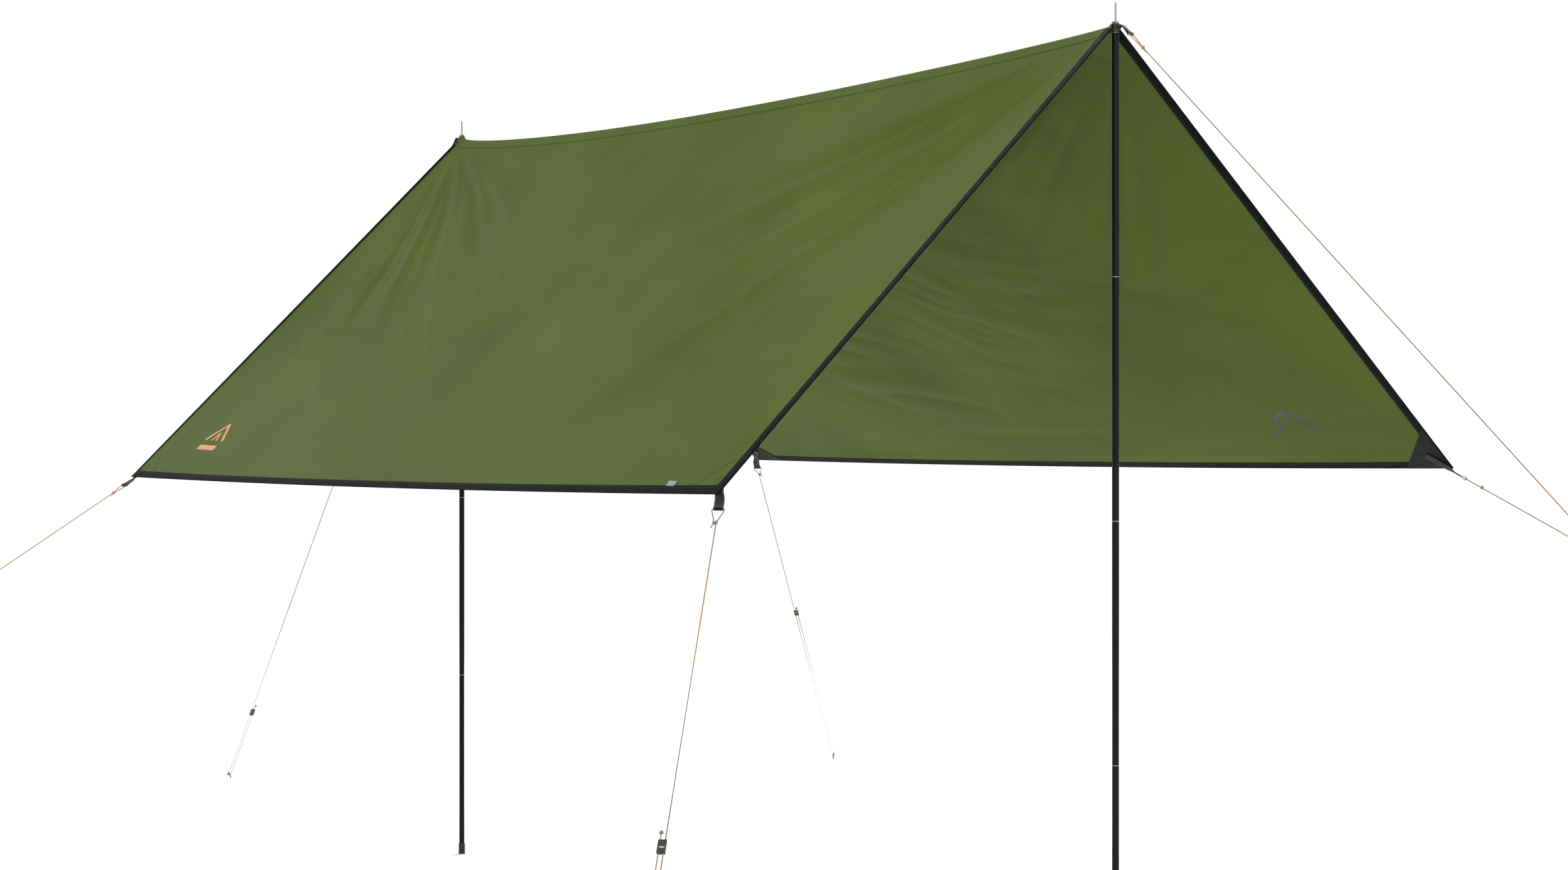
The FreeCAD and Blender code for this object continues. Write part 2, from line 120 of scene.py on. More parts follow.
class TARP_PG_rigging(bpy.types.PropertyGroup):
    cord: bpy.props.FloatProperty(
        name="Cord", description="Diameter of the guy lines", default=0.0025, unit="LENGTH")
    webbing: bpy.props.FloatProperty(
        name="Webbing", description="Width of the webbing loops", default=0.020, unit="LENGTH")
    webbing_thick: bpy.props.FloatProperty(
        name="Webbing thickness", description="Thickness of one layer", default=0.0015, unit="LENGTH")
    knot: bpy.props.FloatProperty(
        name="Knot", description="Eye to knot, along the line", default=0.046, unit="LENGTH")


class TARP_PG_colours(bpy.types.PropertyGroup):
    cloth: bpy.props.StringProperty(
        name="Cloth", description="Colour of the sheet, as sRGB hex", default="64752b")
    cloth_dark: bpy.props.StringProperty(
        name="Cloth shade", description="Darker yarn of the sheet, as sRGB hex", default="566720")
    tape: bpy.props.StringProperty(
        name="Tape", description="Colour of the edge tape, as sRGB hex", default="09090b")
    cord: bpy.props.StringProperty(
        name="Cord", description="Main yarn of the guy lines, as sRGB hex", default="a8742f")
    tracer: bpy.props.StringProperty(
        name="Tracer", description="Second yarn of the guy lines, as sRGB hex", default="6b665f")
    floor: bpy.props.StringProperty(
        name="Floor", description="Colour of the floor, as sRGB hex", default="fbfbfb")


class TARP_PG_stage(bpy.types.PropertyGroup):
    camera: bpy.props.FloatVectorProperty(
        name="Camera", description="Where the camera stands", default=(-4.3633, -4.8448, 1.2933),
        subtype="XYZ", unit="LENGTH")
    turn: bpy.props.FloatProperty(
        name="Turn", description="Camera's turn to the right of +Y", default=radians(35.453),
        unit="ROTATION")
    lens: bpy.props.FloatProperty(
        name="Lens", description="Focal length in millimetres", default=66.26)


# ---------------------------------------------------------------- small helpers
def linear(hex_colour):
    """sRGB hex to the linear colour that shaders take."""
    out = []
    for i in (0, 2, 4):
        c = int(hex_colour[i:i + 2], 16) / 255
        out.append(c / 12.92 if c <= 0.04045 else ((c + 0.055) / 1.055) ** 2.4)
    return (*out, 1.0)


def smooth(low, high, x):
    """0 below low, 1 above high, and a soft step between."""
    x = min(1.0, max(0.0, (x - low) / (high - low)))
    return x * x * (3 - 2 * x)


def look_colour(name):
    """One of the panel's colours, as sRGB hex."""
    return getattr(bpy.context.scene.tarp_colours, name)


def deselect():
    """Drop whatever is selected, so that an operator acts on its own piece only."""
    for o in bpy.context.selected_objects:
        o.select_set(False)
    bpy.context.view_layer.objects.active = None


def activate(piece):
    """Make this the one selected piece."""
    deselect()
    piece.select_set(True)
    bpy.context.view_layer.objects.active = piece


def new_object(name, data):
    """An object for this mesh, curve, lamp or camera, in the scene."""
    made = bpy.data.objects.new(name, data)
    bpy.context.scene.collection.objects.link(made)
    return made


def piece_from(name, verts, faces, uvs=None, material=None):
    """A mesh piece from points and faces, with a UV map in metres when one is given."""
    mesh = bpy.data.meshes.new(name)
    mesh.from_pydata([tuple(v) for v in verts], [], faces)
    if uvs:
        layer = mesh.uv_layers.new(name="UVMap")
        for loop in mesh.loops:
            layer.data[loop.index].uv = uvs[loop.vertex_index]
    mesh.validate()
    piece = new_object(name, mesh)
    if material:
        mesh.materials.append(material)
    return piece


def finish_piece(piece, replaced=(), angle=40):
    """Smooth-shade the piece, hide the CAD nodes it replaces, and attach it to its body."""
    activate(piece)
    bpy.ops.object.shade_smooth_by_angle(angle=radians(angle))
    if replaced:
        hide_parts(*replaced)
    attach(piece, BODY)
    deselect()
    return piece


def thicken(piece, thickness, offset=-1.0):
    """Give a thin sheet its wall, and apply it."""
    activate(piece)
    wall = piece.modifiers.new("Wall", "SOLIDIFY")
    wall.thickness = thickness
    wall.offset = offset
    bpy.ops.object.modifier_apply(modifier=wall.name)


def face_outwards(piece, triangles=False):
    """Turn a closed piece's faces outwards, after cutting them to triangles if asked."""
    activate(piece)
    bpy.ops.object.mode_set(mode="EDIT")
    bpy.ops.mesh.select_all(action="SELECT")
    if triangles:
        bpy.ops.mesh.quads_convert_to_tris(quad_method="BEAUTY", ngon_method="BEAUTY")
    bpy.ops.mesh.normals_make_consistent(inside=False)
    bpy.ops.object.mode_set(mode="OBJECT")


def face_up(mesh, up=True):
    """Turn an open sheet over if its faces don't look up, or down where up is false."""
    if (sum(p.normal.z for p in mesh.polygons) > 0) != up:
        mesh.flip_normals()


def grid_faces(rows, columns, closed=False):
    """Quads between the points of a grid, row by row; closed joins its last column to its first."""
    last = columns if closed else columns - 1
    return [(r * columns + c, r * columns + (c + 1) % columns,
             (r + 1) * columns + (c + 1) % columns, (r + 1) * columns + c)
            for r in range(rows - 1) for c in range(last)]


# ---------------------------------------------------------------- shader helpers
MATH, RANGE, MIX = "ShaderNodeMath", "ShaderNodeMapRange", "ShaderNodeMix"
NOISE, WAVE, PLACE = "ShaderNodeTexNoise", "ShaderNodeTexWave", "ShaderNodeTexCoord"
# A wave texture of scale 1 has a band every 2 pi / 20 metres: this over a pitch is its scale.
WAVE_STEP = 2 * pi / 20
STITCH = 3.6 * MM


def add(tree, kind, settings=None, links=None):
    """Add one node; settings are properties or input values, links are input to socket."""
    made = tree.nodes.new(kind)
    for key, value in (settings or {}).items():
        if isinstance(key, int) or key in made.inputs:
            made.inputs[key].default_value = value
        else:
            setattr(made, key, value)
    for key, socket in (links or {}).items():
        tree.links.new(socket, made.inputs[key])
    return made


def start_material(name):
    """A new node material; returns it with its tree, its Principled shader and its output."""
    material = bpy.data.materials.get(name)
    if material:
        bpy.data.materials.remove(material)
    material = bpy.data.materials.new(name)
    material.use_nodes = True
    tree = material.node_tree
    return material, tree, tree.nodes["Principled BSDF"], tree.nodes["Material Output"]


def feed(tree, shader, links, values):
    """Link the shader's patterned inputs, and set its plain values on its own sockets."""
    for name, socket in links.items():
        tree.links.new(socket, shader.inputs[name])
    for name, value in values.items():
        shader.inputs[name].default_value = value


def stitch_rows(tree, across, along, rows):
    """1 on rows of thread at the given distances across, dashed along at the stitch's length."""
    dash = add(tree, MATH, {"operation": "DIVIDE", 1: STITCH}, {0: along}).outputs[0]
    dash = add(tree, MATH, {"operation": "FRACT"}, {0: dash}).outputs[0]
    dash = add(tree, RANGE, {1: 0.74, 2: 0.78, 3: 1.0, 4: 0.0}, {0: dash}).outputs[0]
    total = None
    for row in rows:
        near = add(tree, MATH, {"operation": "SUBTRACT", 1: row}, {0: across}).outputs[0]
        near = add(tree, MATH, {"operation": "ABSOLUTE"}, {0: near}).outputs[0]
        near = add(tree, RANGE, {1: 0.35 * MM, 2: 0.6 * MM, 3: 1.0, 4: 0.0},
                   {0: near}).outputs[0]
        total = near if total is None else add(
            tree, MATH, {"operation": "MAXIMUM"}, {0: total, 1: near}).outputs[0]
    return add(tree, MATH, {"operation": "MULTIPLY"}, {0: total, 1: dash}).outputs[0]


# ---------------------------------------------------------------- materials
def cloth_material(name="PU coated polyester", rows=(), through=0.43):
    """Plain-woven polyester with a clear coating: satin, slightly see-through, softly mottled.
    Its 0.3 mm yarns are too fine to show, so the weave is drawn at 1.6 mm. Rows are the rows of
    stitches, as distances across, and through is the share of the light that passes."""
    weave_pitch = 1.6 * MM
    material, tree, shader, out = start_material(name)
    uv = add(tree, "ShaderNodeUVMap", {"uv_map": "UVMap"}).outputs[0]
    warp, weft = [
        add(tree, WAVE, {"wave_type": "BANDS", "bands_direction": axis, "Distortion": 0.0,
                         "Scale": WAVE_STEP / weave_pitch}, {"Vector": uv}).outputs["Fac"]
        for axis in "XY"]
    weave = add(tree, MATH, {"operation": "MULTIPLY"}, {0: warp, 1: weft}).outputs[0]
    broad = add(tree, NOISE, {"Scale": 1.6, "Detail": 3.0, "Roughness": 0.55},
                {"Vector": uv}).outputs["Fac"]
    fine = add(tree, NOISE, {"Scale": 90.0, "Detail": 4.0, "Roughness": 0.6},
               {"Vector": uv}).outputs["Fac"]
    # Storage creases: a net of thin lines about 140 mm apart, seen only here and there.
    crease = add(tree, "ShaderNodeTexVoronoi", {
        "feature": "DISTANCE_TO_EDGE", "Scale": 7.0, "Randomness": 1.0},
        {"Vector": uv}).outputs["Distance"]
    crease = add(tree, RANGE, {1: 0.0, 2: 0.035, 3: 1.0, 4: 0.0}, {0: crease}).outputs[0]
    rare = add(tree, RANGE, {1: 0.48, 2: 0.62}, {0: broad}).outputs[0]
    crease = add(tree, MATH, {"operation": "MULTIPLY"}, {0: crease, 1: rare}).outputs[0]

    shade = add(tree, MATH, {"operation": "MULTIPLY_ADD", 1: 0.25}, {0: fine, 2: broad}).outputs[0]
    shade = add(tree, RANGE, {1: 0.42, 2: 0.82}, {0: shade}).outputs[0]
    colour = add(tree, MIX, {
        "data_type": "RGBA", 6: linear(look_colour("cloth_dark")),
        7: linear(look_colour("cloth"))}, {0: shade}).outputs[2]
    height = add(tree, MATH, {"operation": "MULTIPLY_ADD", 1: 0.35},
                 {0: weave, 2: fine}).outputs[0]
    height = add(tree, MATH, {"operation": "MULTIPLY_ADD", 1: 2.5},
                 {0: crease, 2: height}).outputs[0]
    if rows:
        along, across = add(tree, "ShaderNodeSeparateXYZ", {}, {0: uv}).outputs[:2]
        thread = stitch_rows(tree, across, along, rows)
        colour = add(tree, MIX, {"data_type": "RGBA", 7: linear("2f3a17")},
                     {0: thread, 6: colour}).outputs[2]
        height = add(tree, MATH, {"operation": "MULTIPLY_ADD", 1: 3.0},
                     {0: thread, 2: height}).outputs[0]
    satin = add(tree, RANGE, {1: 0.3, 2: 0.7, 3: 0.54, 4: 0.66}, {0: fine}).outputs[0]
    bump = add(tree, "ShaderNodeBump", {"Strength": 0.35, "Distance": 0.35 * MM},
               {"Height": height}).outputs[0]
    feed(tree, shader, {"Base Color": colour, "Roughness": satin, "Normal": bump},
         {"IOR": 1.45, "Specular IOR Level": 0.22})
    glow = add(tree, "ShaderNodeBsdfTranslucent", {}, {"Color": colour, "Normal": bump})
    both = add(tree, "ShaderNodeMixShader", {0: through},
               {1: shader.outputs[0], 2: glow.outputs[0]})
    tree.links.new(both.outputs[0], out.inputs["Surface"])
    return material


def tape_material(name, colour, rows, ribs, roughness=0.62, fuzz=0.0, stitch="34343a"):
    """Woven narrow fabric: fine ribs across it with a painted highlight on their crests, rows of lock
    stitch along it, a dry dull face.
    The ribs are about 0.8 mm on the real tape and are drawn a little coarser."""
    rib_highlight_gain = 1.6
    material, tree, shader, _ = start_material(name)
    uv = add(tree, "ShaderNodeUVMap", {"uv_map": "UVMap"}).outputs[0]
    along, across = add(tree, "ShaderNodeSeparateXYZ", {}, {0: uv}).outputs[:2]
    rib = add(tree, WAVE, {
        "wave_type": "BANDS", "bands_direction": "X", "Scale": WAVE_STEP / ribs,
        "Distortion": 1.2, "Detail": 2.0, "Detail Scale": 1.5}, {"Vector": uv}).outputs["Fac"]
    cross = add(tree, WAVE, {
        "wave_type": "BANDS", "bands_direction": "Y", "Scale": WAVE_STEP / (ribs * 0.8)},
        {"Vector": uv}).outputs["Fac"]
    mottle = add(tree, NOISE, {"Scale": 45.0, "Detail": 5.0, "Roughness": 0.65},
                 {"Vector": uv}).outputs["Fac"]
    dark = linear(colour)
    # Painted highlight: the ribs' raised crests are painted lighter than the tape's own colour, with
    # random mottle mixed in.
    light = tuple(c * rib_highlight_gain for c in dark[:3]) + (1.0,)
    shade = add(tree, MATH, {"operation": "MULTIPLY_ADD", 1: 0.4}, {0: rib, 2: mottle}).outputs[0]
    shade = add(tree, RANGE, {1: 0.35, 2: 1.05}, {0: shade}).outputs[0]
    face = add(tree, MIX, {"data_type": "RGBA", 6: dark, 7: light}, {0: shade}).outputs[2]
    height = add(tree, MATH, {"operation": "MULTIPLY_ADD", 1: 0.5}, {0: cross, 2: rib}).outputs[0]
    if rows:
        thread = stitch_rows(tree, across, along, rows)
        face = add(tree, MIX, {"data_type": "RGBA", 7: linear(stitch)},
                   {0: thread, 6: face}).outputs[2]
        height = add(tree, MATH, {"operation": "MULTIPLY_ADD", 1: 2.0},
                     {0: thread, 2: height}).outputs[0]
    dull = add(tree, RANGE, {1: 0.3, 2: 0.7, 3: roughness - 0.06, 4: roughness + 0.08},
               {0: mottle}).outputs[0]
    bump = add(tree, "ShaderNodeBump", {"Strength": 0.6, "Distance": 0.3 * MM},
               {"Height": height}).outputs[0]
    feed(tree, shader, {"Base Color": face, "Roughness": dull, "Normal": bump},
         {"Sheen Weight": fuzz, "Sheen Roughness": 0.5, "IOR": 1.5, "Specular IOR Level": 0.04})
    return material


def cord_material():
    """Braided polyester cord: an orange jacket with grey tracer yarns, matt and slightly hairy.
    The tracers' flecks are about 2.4 mm and the braid's crossings 1.1 mm, coarse enough to show."""
    material, tree, shader, _ = start_material("braided polyester cord")
    place = add(tree, PLACE).outputs["Object"]
    fleck = add(tree, NOISE, {"Scale": 420.0, "Detail": 2.0, "Roughness": 0.5},
                {"Vector": place}).outputs["Fac"]
    slow = add(tree, NOISE, {"Scale": 3.0, "Detail": 2.0}, {"Vector": place}).outputs["Fac"]
    grey = add(tree, MATH, {"operation": "MULTIPLY_ADD", 1: 0.6}, {0: slow, 2: fleck}).outputs[0]
    grey = add(tree, RANGE, {1: 0.70, 2: 0.90}, {0: grey}).outputs[0]
    jacket = add(tree, MIX, {
        "data_type": "RGBA", 6: linear(look_colour("cord")), 7: linear(look_colour("tracer"))},
        {0: grey}).outputs[2]
    braid = add(tree, "ShaderNodeTexVoronoi", {"Scale": 900.0},
                {"Vector": place}).outputs["Distance"]
    matt = add(tree, RANGE, {1: 0.3, 2: 0.7, 3: 0.6, 4: 0.75}, {0: fleck}).outputs[0]
    bump = add(tree, "ShaderNodeBump", {"Strength": 0.5, "Distance": 0.25 * MM},
               {"Height": braid}).outputs[0]
    feed(tree, shader, {"Base Color": jacket, "Roughness": matt, "Normal": bump},
         {"Sheen Weight": 0.2})
    return material


def solid_material(name, colour, second, roughness, grain, metallic=0.0, bump=0.2, coat=0.0,
                   stretch=1.0):
    """A moulded, coated or drawn solid: two close shades in a grain, and a roughness that follows
    it. The grain is in metres; stretch draws it out along Z."""
    material, tree, shader, _ = start_material(name)
    place = add(tree, PLACE).outputs["Object"]
    place = add(tree, "ShaderNodeMapping", {"Scale": (1.0, 1.0, stretch)},
                {"Vector": place}).outputs[0]
    broad = add(tree, NOISE, {"Scale": 0.2 / grain, "Detail": 4.0, "Roughness": 0.6},
                {"Vector": place}).outputs["Fac"]
    fine = add(tree, NOISE, {"Scale": 1.0 / grain, "Detail": 3.0},
               {"Vector": place}).outputs["Fac"]
    shade = add(tree, RANGE, {1: 0.35, 2: 0.65}, {0: broad}).outputs[0]
    face = add(tree, MIX, {"data_type": "RGBA", 6: linear(colour), 7: linear(second)},
               {0: shade}).outputs[2]
    rough = add(tree, RANGE, {1: 0.3, 2: 0.7, 3: roughness - 0.05, 4: roughness + 0.07},
                {0: fine}).outputs[0]
    bumped = add(tree, "ShaderNodeBump", {"Strength": bump, "Distance": 0.1 * MM},
                 {"Height": fine}).outputs[0]
    feed(tree, shader, {"Base Color": face, "Roughness": rough, "Normal": bumped},
         {"Metallic": metallic, "Coat Weight": coat, "Coat Roughness": 0.12})
    if not metallic:
        shader.inputs["IOR"].default_value = 1.5
    return material


def pole_material():
    """Steel tube with a black stove-enamelled finish, and a light ring at each join drawn as metal showing
    through the enamel: a painted highlight where light catches the joints' chamfers.
    """
    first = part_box("front_pole_foot")[0].z + 4 * MM
    pitch = (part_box("front_pole_section_4")[1].z - first) / 4
    material, tree, shader, _ = start_material("black enamelled steel tube")
    place = add(tree, PLACE).outputs["Object"]
    drawn_out = add(tree, "ShaderNodeMapping", {"Scale": (1.0, 1.0, 0.02)},
                    {"Vector": place}).outputs[0]
    drawn = add(tree, NOISE, {"Scale": 260.0, "Detail": 4.0},
                {"Vector": drawn_out}).outputs["Fac"]
    ring_breaks = add(tree, NOISE, {"Scale": 700.0, "Detail": 3.0}, {"Vector": place}).outputs["Fac"]
    ring_breaks = add(tree, RANGE, {1: 0.35, 2: 0.55, 3: 0.35, 4: 1.0}, {0: ring_breaks}).outputs[0]
    # Height above the foot in sections, folded so that it is 0 at each join.
    z = add(tree, "ShaderNodeSeparateXYZ", {}, {0: place}).outputs[2]
    join = add(tree, MATH, {"operation": "SUBTRACT", 1: first}, {0: z}).outputs[0]
    join = add(tree, MATH, {"operation": "DIVIDE", 1: pitch}, {0: join}).outputs[0]
    join = add(tree, MATH, {"operation": "PINGPONG", 1: 0.5}, {0: join}).outputs[0]
    # Painted highlight: a light metallic ring each side of every join, where light catches the chamfer,
    # broken up by noise.
    painted_join_highlight = add(tree, RANGE, {1: 0.45 * MM / pitch, 2: 1.1 * MM / pitch, 3: 1.0, 4: 0.0},
               {0: join}).outputs[0]
    painted_join_highlight = add(tree, MATH, {"operation": "MULTIPLY"}, {0: painted_join_highlight, 1: ring_breaks}).outputs[0]
    shade = add(tree, RANGE, {1: 0.35, 2: 0.65}, {0: drawn}).outputs[0]
    enamel = add(tree, MIX, {"data_type": "RGBA", 6: linear("070708"), 7: linear("0c0c0e")},
                 {0: shade}).outputs[2]
    # The painted highlight, mixed over the enamel as light grey.
    face = add(tree, MIX, {"data_type": "RGBA", 7: linear("b9bcc0")},
               {0: painted_join_highlight, 6: enamel}).outputs[2]
    ring_metallic = add(tree, RANGE, {1: 0.0, 2: 1.0, 3: 0.0, 4: 0.9}, {0: painted_join_highlight}).outputs[0]
    gloss = add(tree, RANGE, {1: 0.3, 2: 0.7, 3: 0.26, 4: 0.36}, {0: drawn}).outputs[0]
    bump = add(tree, "ShaderNodeBump", {"Strength": 0.1, "Distance": 0.1 * MM},
               {"Height": drawn}).outputs[0]
    feed(tree, shader, {"Base Color": face, "Metallic": ring_metallic, "Roughness": gloss, "Normal": bump},
         {"Specular IOR Level": 0.14})
    return material


# ---------------------------------------------------------------- the sheet's surface
def ridge_height(s):
    """Height of the crest at s, from 0 at the front peak to 1 at the rear one."""
    return PEAK - bpy.context.scene.tarp_canopy.ridge_sag * sqrt(max(0.0, sin(pi * s ** 1.4)))


def base(side, s, t):
    """The smooth sheet's upper face: s along the ridge, t from ridge to eave."""
    look = bpy.context.scene.tarp_canopy
    eave = EAVE[side] - look.eave_sag * 4 * s * (1 - s)
    bow = 1 - (1 - 4 * s * (1 - s)) ** 2
    z = ridge_height(s) * (1 - t) + eave * t - look.panel_sag * bow * 4 * t * (1 - t)
    # The crest is bent over a 3 mm radius, which takes it down a little.
    across = t * look.width
    z -= 0.72 * (sqrt(across ** 2 + (3 * MM) ** 2) - across)
    return Vector((side * REACH[side] * t, RIDGE * s, z))


def facing(side, s, t):
    """The sheet's upward normal."""
    step = 0.004
    s0, s1 = max(0.0, s - step), min(1.0, s + step)
    t0, t1 = max(0.0, t - step), min(1.0, t + step)
    normal = (base(side, s1, t) - base(side, s0, t)).cross(base(side, s, t1) - base(side, s, t0))
    normal.normalize()
    return normal if normal.z > 0 else -normal


# Two sets of folds at each peak: height in mm, folds for each radian, first and last angle from
# the ridge in degrees, where they start and end in metres from the peak, and a seed.
REAR_FANS = ((6.4, 24.0, 16, 72, 0.25, 1.30, 4.3), (3.3, 58.0, 22, 66, 0.55, 1.05, 2.9))
FRONT_FANS = ((5.6, 28.0, 15, 58, 0.45, 1.70, 9.1), (3.5, 52.0, 18, 54, 0.70, 1.35, 6.3))


def fan(along, down, folds, low, high, near, far, seed):
    """Tension folds that run out from a peak, between two angles from the ridge."""
    reach, angle = hypot(along, down), atan2(down, along)
    inside = smooth(low - 0.12, low + 0.06, angle) * (1 - smooth(high - 0.06, high + 0.12, angle))
    fade = smooth(0.04, near, reach) * (1 - smooth(0.55 * far, far, reach))
    if inside * fade <= 0:
        return 0.0
    wander = noise.noise(Vector((angle * 2.2, reach * 1.6, seed)))
    strong = 0.35 + 0.9 * abs(noise.noise(Vector((angle * 5.0, seed, reach * 0.7)))) * 2
    wave = sin(folds * angle + 3.2 * wander + seed)
    sharp = wave * abs(wave) ** 0.35
    return inside * fade * strong * sharp


def crumple(y, q, seed, stretch, size):
    """Soft short folds, longer along the ridge than across it, that bend a little."""
    bend = noise.noise(Vector((y * 1.3, q * 1.7, seed)))
    a = Vector((y / (size * stretch) + bend, q / size + 1.4 * bend + 0.35 * y / size, seed * 1.7))
    ridged = 1 - 2 * abs(noise.noise(a))
    soft = noise.noise(a * 0.55 + Vector((3.1, 1.7, seed)))
    return 0.6 * (ridged - 0.55) + soft


def fold_height(side, s, t):
    """How far the folds lift the cloth from the smooth sheet."""
    look = bpy.context.scene.tarp_canopy
    y, q = s * RIDGE, t * look.width
    # The folds die out at the taped edges and at the seam band.
    edge = smooth(0.028, 0.11, min(y, RIDGE - y)) * smooth(0.030, 0.10, q) \
        * smooth(0.026, 0.06, look.width - q)
    if edge <= 0:
        return 0.0
    rear, front = [
        sum(tall * fan(along, q, folds, radians(low), radians(high), near, far, seed + side)
            for tall, folds, low, high, near, far, seed in fans)
        for along, fans in ((RIDGE - y, REAR_FANS), (y, FRONT_FANS))]
    middle = smooth(0.25, 0.7, min(y, RIDGE - y) + 0.3 * q) * smooth(0.2, 0.5, q) \
        * (1 - smooth(1.1, 1.4, q))
    patchy = smooth(-0.15, 0.35, noise.noise(Vector((y * 1.1 + side, q * 1.4, 7.7))))
    crushed = crumple(y, q, 2.9 + side, 2.6, 0.085) * middle * (0.35 + 0.9 * patchy)
    ripples = noise.noise(Vector((y * 1.5, q * 24.0, 5.5 + side))) * smooth(1.18, 1.36, q)
    eased = 1.0 if side < 0 else 0.72
    swell = noise.noise(Vector((y * 1.2, q * 1.6, 11.0 + side))) * 9.0
    lift = rear + front + 7.5 * crushed + 3.0 * ripples + swell
    return look.folds * eased * edge * lift * MM


def sheet_point(side, s, t, lift=0.0):
    """A point on the folded sheet, lifted along its normal."""
    return base(side, s, t) + facing(side, s, t) * (fold_height(side, s, t) + lift)


# ---------------------------------------------------------------- the sheet's pieces
class TARP_OT_panels(bpy.types.Operator):
    """Add the two cloth panels with their sag and folds"""
    bl_idname = "tarp.panels"
    bl_label = "Cloth panels"

    def execute(self, context):
        look = context.scene.tarp_canopy
        cloth = cloth_material()
        rows, columns = 300, 160
        for side, word in SIDES:
            verts, uvs = [], []
            for r in range(rows):
                s = 0.0006 + (1 - 0.0012) * r / (rows - 1)
                for c in range(columns):
                    t = 0.9988 * c / (columns - 1)
                    verts.append(sheet_point(side, s, t))
                    uvs.append((s * RIDGE, t * look.width))
            faces = grid_faces(rows, columns)
            if side < 0:
                faces = [f[::-1] for f in faces]
            panel = piece_from("canopy_" + word, verts, faces, uvs, cloth)
            thicken(panel, look.cloth)
            finish_piece(panel, [word + "_panel"], 60)
        return {"FINISHED"}


class TARP_OT_ridge_band(bpy.types.Operator):
    """Add the felled seam band along the ridge, over the eyelets"""
    bl_idname = "tarp.ridge_band"
    bl_label = "Ridge seam band"

    def execute(self, context):
        look = context.scene.tarp_canopy
        material = cloth_material(
            "PU coated polyester seam band", (3.0 * MM, 2 * look.band - 3.0 * MM), 0.42)
        rows, half = 301, 12
        eyelet_tall, eyelet_wide = 6.2 * MM, 15 * MM
        verts, uvs = [], []
        for r in range(rows):
            s = r / (rows - 1)
            for c in range(-half, half + 1):
                side = -1 if c < 0 else 1
                w = look.band * abs(c) / half
                lift = 1.0 * MM
                for end in (0.0, RIDGE):
                    off = hypot(s * RIDGE - end, w)
                    lift += eyelet_tall * exp(-(off / eyelet_wide) ** 4)
                t = w / look.width
                verts.append(base(side, s, t) + (facing(side, s, t) if c else UP) * lift)
                uvs.append((s * RIDGE, look.band + side * w))
        band = piece_from("ridge_seam", verts, grid_faces(rows, 2 * half + 1), uvs, material)
        face_outwards(band)
        face_up(band.data)
        thicken(band, 0.7 * MM)
        finish_piece(band, ["ridge_band"], 60)
        return {"FINISHED"}


def tape_profile(width, thick, lift, outer_face):
    """The folded tape's section: distance in from the edge and height, out along the top and back.
    The outer face may be turned over less far than the inner one."""
    t, half = thick, lift
    outer = [(width, half), (width - 0.6 * MM, half + t), (width * 0.5, half + t + 0.15 * MM),
             (1.5 * MM, half + t), (0.0, half + 0.8 * t), (-0.9 * MM, 0.45 * half), (-1.1 * MM, 0.0)]
    inner = [(width, half), (width * 0.5, half + 0.1 * MM), (1.6 * MM, half), (0.3 * MM, 0.6 * half),
             (0.0, 0.0)]
    share = outer_face / width
    ring = [(a * share if a > 0 else a, b) for a, b in outer] + [(a, -b) for a, b in outer[-2::-1]]
    lining = [(a * share if a > 0 else a, b) for a, b in inner] + [(a, -b) for a, b in inner[-2::-1]]
    return ring + lining[::-1][1:-1]


def edge_tape(name, point, stations, width, material, replaced, outer_face):
    """A folded tape along an edge; point(k, inward) gives the sheet's place and normal there."""
    profile = tape_profile(width, 0.8 * MM, 0.9 * MM, outer_face)
    verts, uvs = [], []
    length = 0.0
    before = None
    for k in stations:
        here = point(k, 0.0)[0]
        length += (here - before).length if before else 0.0
        before = here
        for inward, height in profile:
            at, normal = point(k, inward)
            verts.append(at + normal * height)
            uvs.append((length, max(inward, 0.0)))
    columns = len(profile)
    faces = grid_faces(len(stations), columns, closed=True)
    last = (len(stations) - 1) * columns
    faces += [tuple(range(columns)), tuple(last + i for i in reversed(range(columns)))]
    tape = piece_from(name, verts, faces, uvs, material)
    face_outwards(tape, triangles=True)
    return finish_piece(tape, replaced, 50)


class TARP_OT_edge_tapes(bpy.types.Operator):
    """Add the folded black tape round the sheet's edge"""
    bl_idname = "tarp.edge_tapes"
    bl_label = "Edge tapes"

    def execute(self, context):
        look = context.scene.tarp_canopy
        material = tape_material("woven polyester edge tape", look_colour("tape"),
                                 (look.tape - 2.5 * MM, look.tape - 7.0 * MM), 1.1 * MM)
        verge_cuts, eave_cuts = 160, 240
        for side, word in SIDES:
            for end, (s_edge, way) in ENDS.items():
                def verge(t, inward, side=side, s_edge=s_edge, way=way):
                    t = min(max(t, 0.0), 1.0)
                    reach = max(inward, 0.0)
                    s = s_edge + way * reach / RIDGE
                    at = base(side, s, t) + facing(side, s, t) * fold_height(side, s, t)
                    out = base(side, s_edge, t) - base(side, s_edge + way * 0.01, t)
                    return at + out.normalized() * max(-inward, 0.0), facing(side, s_edge, t)
                stations = [k / verge_cuts for k in range(verge_cuts + 1)]
                outer_face = look.tape if end == "front" else look.tape_turn
                edge_tape("edge_tape_" + end + "_" + word, verge, stations, look.tape, material,
                          [end + "_" + word + "_binding"], outer_face)

            def eave(s, inward, side=side):
                reach = max(inward, 0.0)
                t = 1 - reach / look.width
                at = base(side, s, t) + facing(side, s, t) * fold_height(side, s, t)
                out = base(side, s, 1.0) - base(side, s, 0.99)
                return at + out.normalized() * max(-inward, 0.0), facing(side, s, 1.0)
            stations = [0.0012 + 0.9976 * k / eave_cuts for k in range(eave_cuts + 1)]
            edge_tape("edge_tape_" + word + "_eave", eave, stations, look.tape, material,
                      [word + "_eave_binding"], look.tape)
        return {"FINISHED"}


